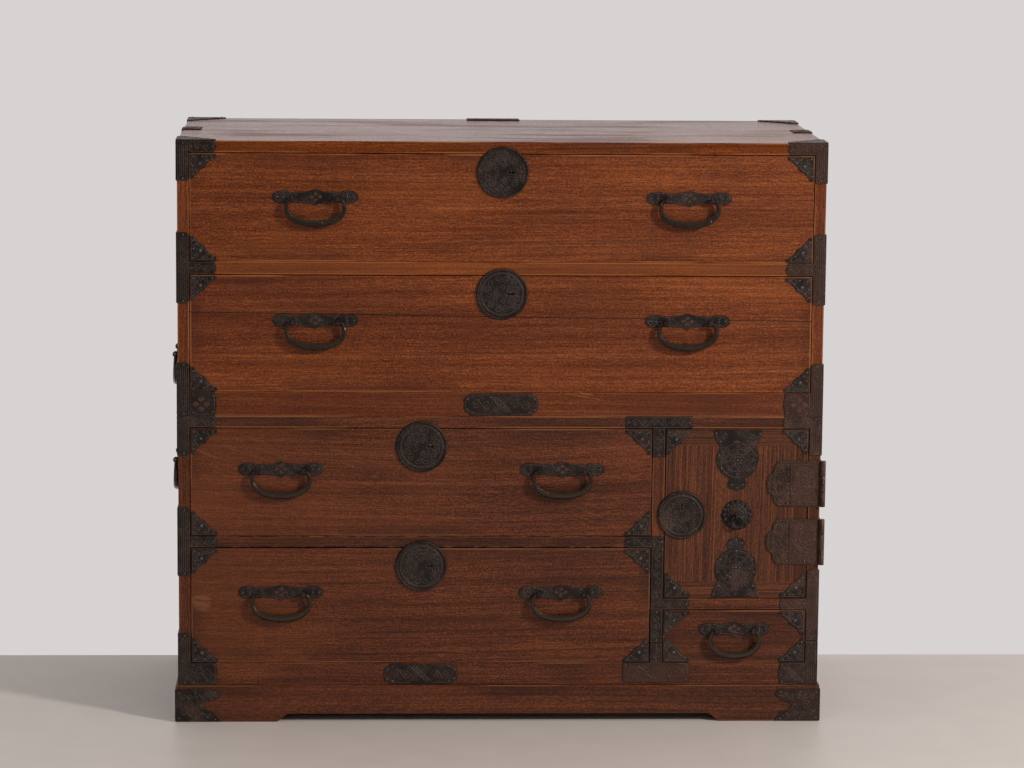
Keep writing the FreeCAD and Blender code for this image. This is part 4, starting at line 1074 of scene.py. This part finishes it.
iron("door_irons", 20, 0.25).dress()
iron("door_hinge_leaves", 23, 0.8).dress()
iron("hinge_case_leaves", 24, 0.8).dress()
iron("hinge_pins", 25, 0.3).dress()
DOOR_IRON = nodes["door_irons"].data.materials[0]

door_low, door_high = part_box("door_panel")
ring_axis = Vector(next(joint["pos_m"] for joint in frame["joints"] if joint["child"] == "door_ring"))
door_face = door_low.y - PLATE
door_work = works["door"]
mark_corner_plates(door_work, door_low, door_high)
place = door_low.x + 26.3 * MM, ring_axis.z, door_low.y - LOCK_PLATE
mark_lock(door_work, *place, DOOR_LOCK_RADIUS, LOCK_RINGS, (0, 10))


def mark_ornament(work):
    """A flared base, a disc with rings and a flower in it, and a lobed head, drawn from the base down."""
    disc = -47.5
    for side in (-1, 1):
        work.nail((side * 34, -5), (side * 27, -18), (side * 29, -40), (side * 25, -60), (side * 9, -86))
        work.curl(side * 22, -9, 5, 90, side * 1.3)
        work.line([(side * 36, -2), (side * 33, -12), (side * 25.5, -26)])
    work.nail((0, -5), (0, -91), (0, -74), (0, disc))
    for radius in (27, 18, 10):
        work.ring(0, disc, radius, 44)
    for index, (across, up) in enumerate(around(8, 1)):
        work.curl(22.5 * across, disc + 22.5 * up, 3.6, 45 * index, 1.3)
        work.curl(14 * across, disc + 14 * up, 2.6, 45 * index, 1.0)
        work.nail((6 * across, disc + 6 * up), size=0.9)


for level, up in ((door_high.z - 1.5 * MM, 1), (door_low.z + 1.5 * MM, -1)):
    door_work.on(facing_front(door_face), ring_axis.x, level, 1, up)
    mark_ornament(door_work)


def rosette():
    """Domed petals round the rim of the cone, and a ring of beads inside them."""
    rows = []
    for radius, rise, size in ((20.6, 0.9, 2.4), (13.6, 2.7, 1.2)):
        plane = facing_front(door_low.y - rise * MM)
        places = around(16, radius * MM)
        rows += [(*plane(ring_axis.x + across, ring_axis.z + up), size) for across, up in places]
    piece(heads("rosette_petals", rows, DOOR_IRON), "door")


def drop_ring():
    """A round forged ring, polished by fingers."""
    radius = 9.0 * MM
    middle = ring_axis - Vector((0.0, 0.0, radius))
    rim = [middle + Vector((across, 0.0, up)) for up, across in around(24, radius)]
    shape = beads("drop_ring", [(rim, True)], DOOR_IRON, Bead=2.2 * MM, Sides=10)
    ring = piece(shape, "door_ring")
    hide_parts("door_ring")


def mark_hinges():
    """A border, a column of tendrils near the lobed end and two columns of nails on each leaf."""
    low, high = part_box("door_hinge_leaves")
    half = ((high.z - low.z) / MM - 20.0) / 4
    rim = [(76, half - 3), (20, half - 3), (13, half * 0.7), (12, half * 0.5), (4.5, half * 0.32), (2.5, 0)]
    for middle in (low.z + half * MM, high.z - half * MM):
        door_work.on(facing_front(low.y + 4.6 * MM), low.x, middle)
        door_work.line(rim + [(x, -y) for x, y in rim[-2::-1]])
        door_work.tendril((21, -half + 8), (21, half - 8), 15)
        door_work.tendril((11, -half * 0.42), (11, half * 0.42), 9)
        for across, count in ((33, 5), (61, 3)):
            rows = [(half - 6) * (2 * index / (count - 1) - 1) for index in range(count)]
            door_work.nail(*[(across, row) for row in rows])
        door_work.line([(38, half - 5), (38, -half + 5)])


rosette()
drop_ring()
mark_hinges()
for work in works.values():
    work.finish()

# ---------------------------------------------------------------- room
# A pale floor and a pale wall far behind it, soft light from all sides and one lamp at the upper right,
# and the camera.


def pale_floor():
    half_width, front, back, level = 3.5, -4.15, 0.25, -0.2 * MM
    mesh = bpy.data.meshes.new("floor")
    corners = rectangle(-half_width, front, half_width, back)
    mesh.from_pydata([(x, y, level) for x, y in corners], [], [(0, 1, 2, 3)])
    finish = Finish("floor_paint")
    x, y, z = finish.at
    clouds = finish.noise((x * 14, y * 14, z), 4, 1.4)
    finish.colour = finish.mix(clouds, srgb(209, 199, 192), srgb(217, 207, 200))
    finish.roughness = 0.45
    mesh.materials.append(finish.done())
    floor = placed("floor", mesh)


def wall_and_sky():
    """Pale behind the chest, and darker in front of it, where lacquer and iron mirror the room."""
    world = bpy.data.worlds.new("room")
    bpy.context.scene.world = world
    world.use_nodes = True
    world.node_tree.nodes.clear()
    room = Graph(world.node_tree)
    light = {"Color": (1.0, 0.98, 0.96, 1.0), "Strength": 0.5}
    shown = room.node("ShaderNodeBackground", None, light)
    sight = room.node("ShaderNodeTexCoord", output="Generated")
    away = room.node("ShaderNodeSeparateXYZ", None, {0: sight}, "Y")
    stops = [(0.3, srgb(82, 78, 76)), (0.62, srgb(214, 209, 209))]
    mirrored = room.node("ShaderNodeValToRGB", {"stops": stops}, {0: away * 0.5 + 0.5})
    for kind, colour in (("Is Glossy Ray", mirrored), ("Is Camera Ray", srgb(216, 211, 211))):
        share = room.node("ShaderNodeLightPath", output=kind)
        seen = room.node("ShaderNodeBackground", None, {"Color": colour})
        shown = room.node("ShaderNodeMixShader", None, {"Fac": share, 1: shown, 2: seen})
    room.node("ShaderNodeOutputWorld", None, {"Surface": shown})


def key_lamp():
    place, target = Vector((3.0, -2.6, 2.3)), Vector((0.1, -0.2, 0.6))
    data = bpy.data.lights.new("key", "AREA")
    data.shape = "DISK"
    data.size = 0.6
    data.energy = 114.0
    data.color = (1.0, 0.97, 0.93)
    lamp = placed("key", data)
    lamp.location = place
    lamp.rotation_euler = (target - place).to_track_quat("-Z", "Y").to_euler()


def camera():
    """Level with the middle of the chest's upper half, looking down a little, with a long lens."""
    place = (-0.22922, -5.77385, 1.37863)
    turn = Matrix()
    for angle, axis in ((-2.532, "Z"), (90 - 8.616, "X"), (0.515, "Z")):
        turn = turn @ Matrix.Rotation(math.radians(angle), 4, axis)
    data = bpy.data.cameras.new("camera")
    data.lens = 127.64
    made = placed("camera", data)
    made.matrix_world = Matrix.Translation(place) @ turn
    bpy.context.scene.camera = made


pale_floor()
wall_and_sky()
key_lamp()
camera()
bpy.context.scene.view_settings.view_transform = "Standard"
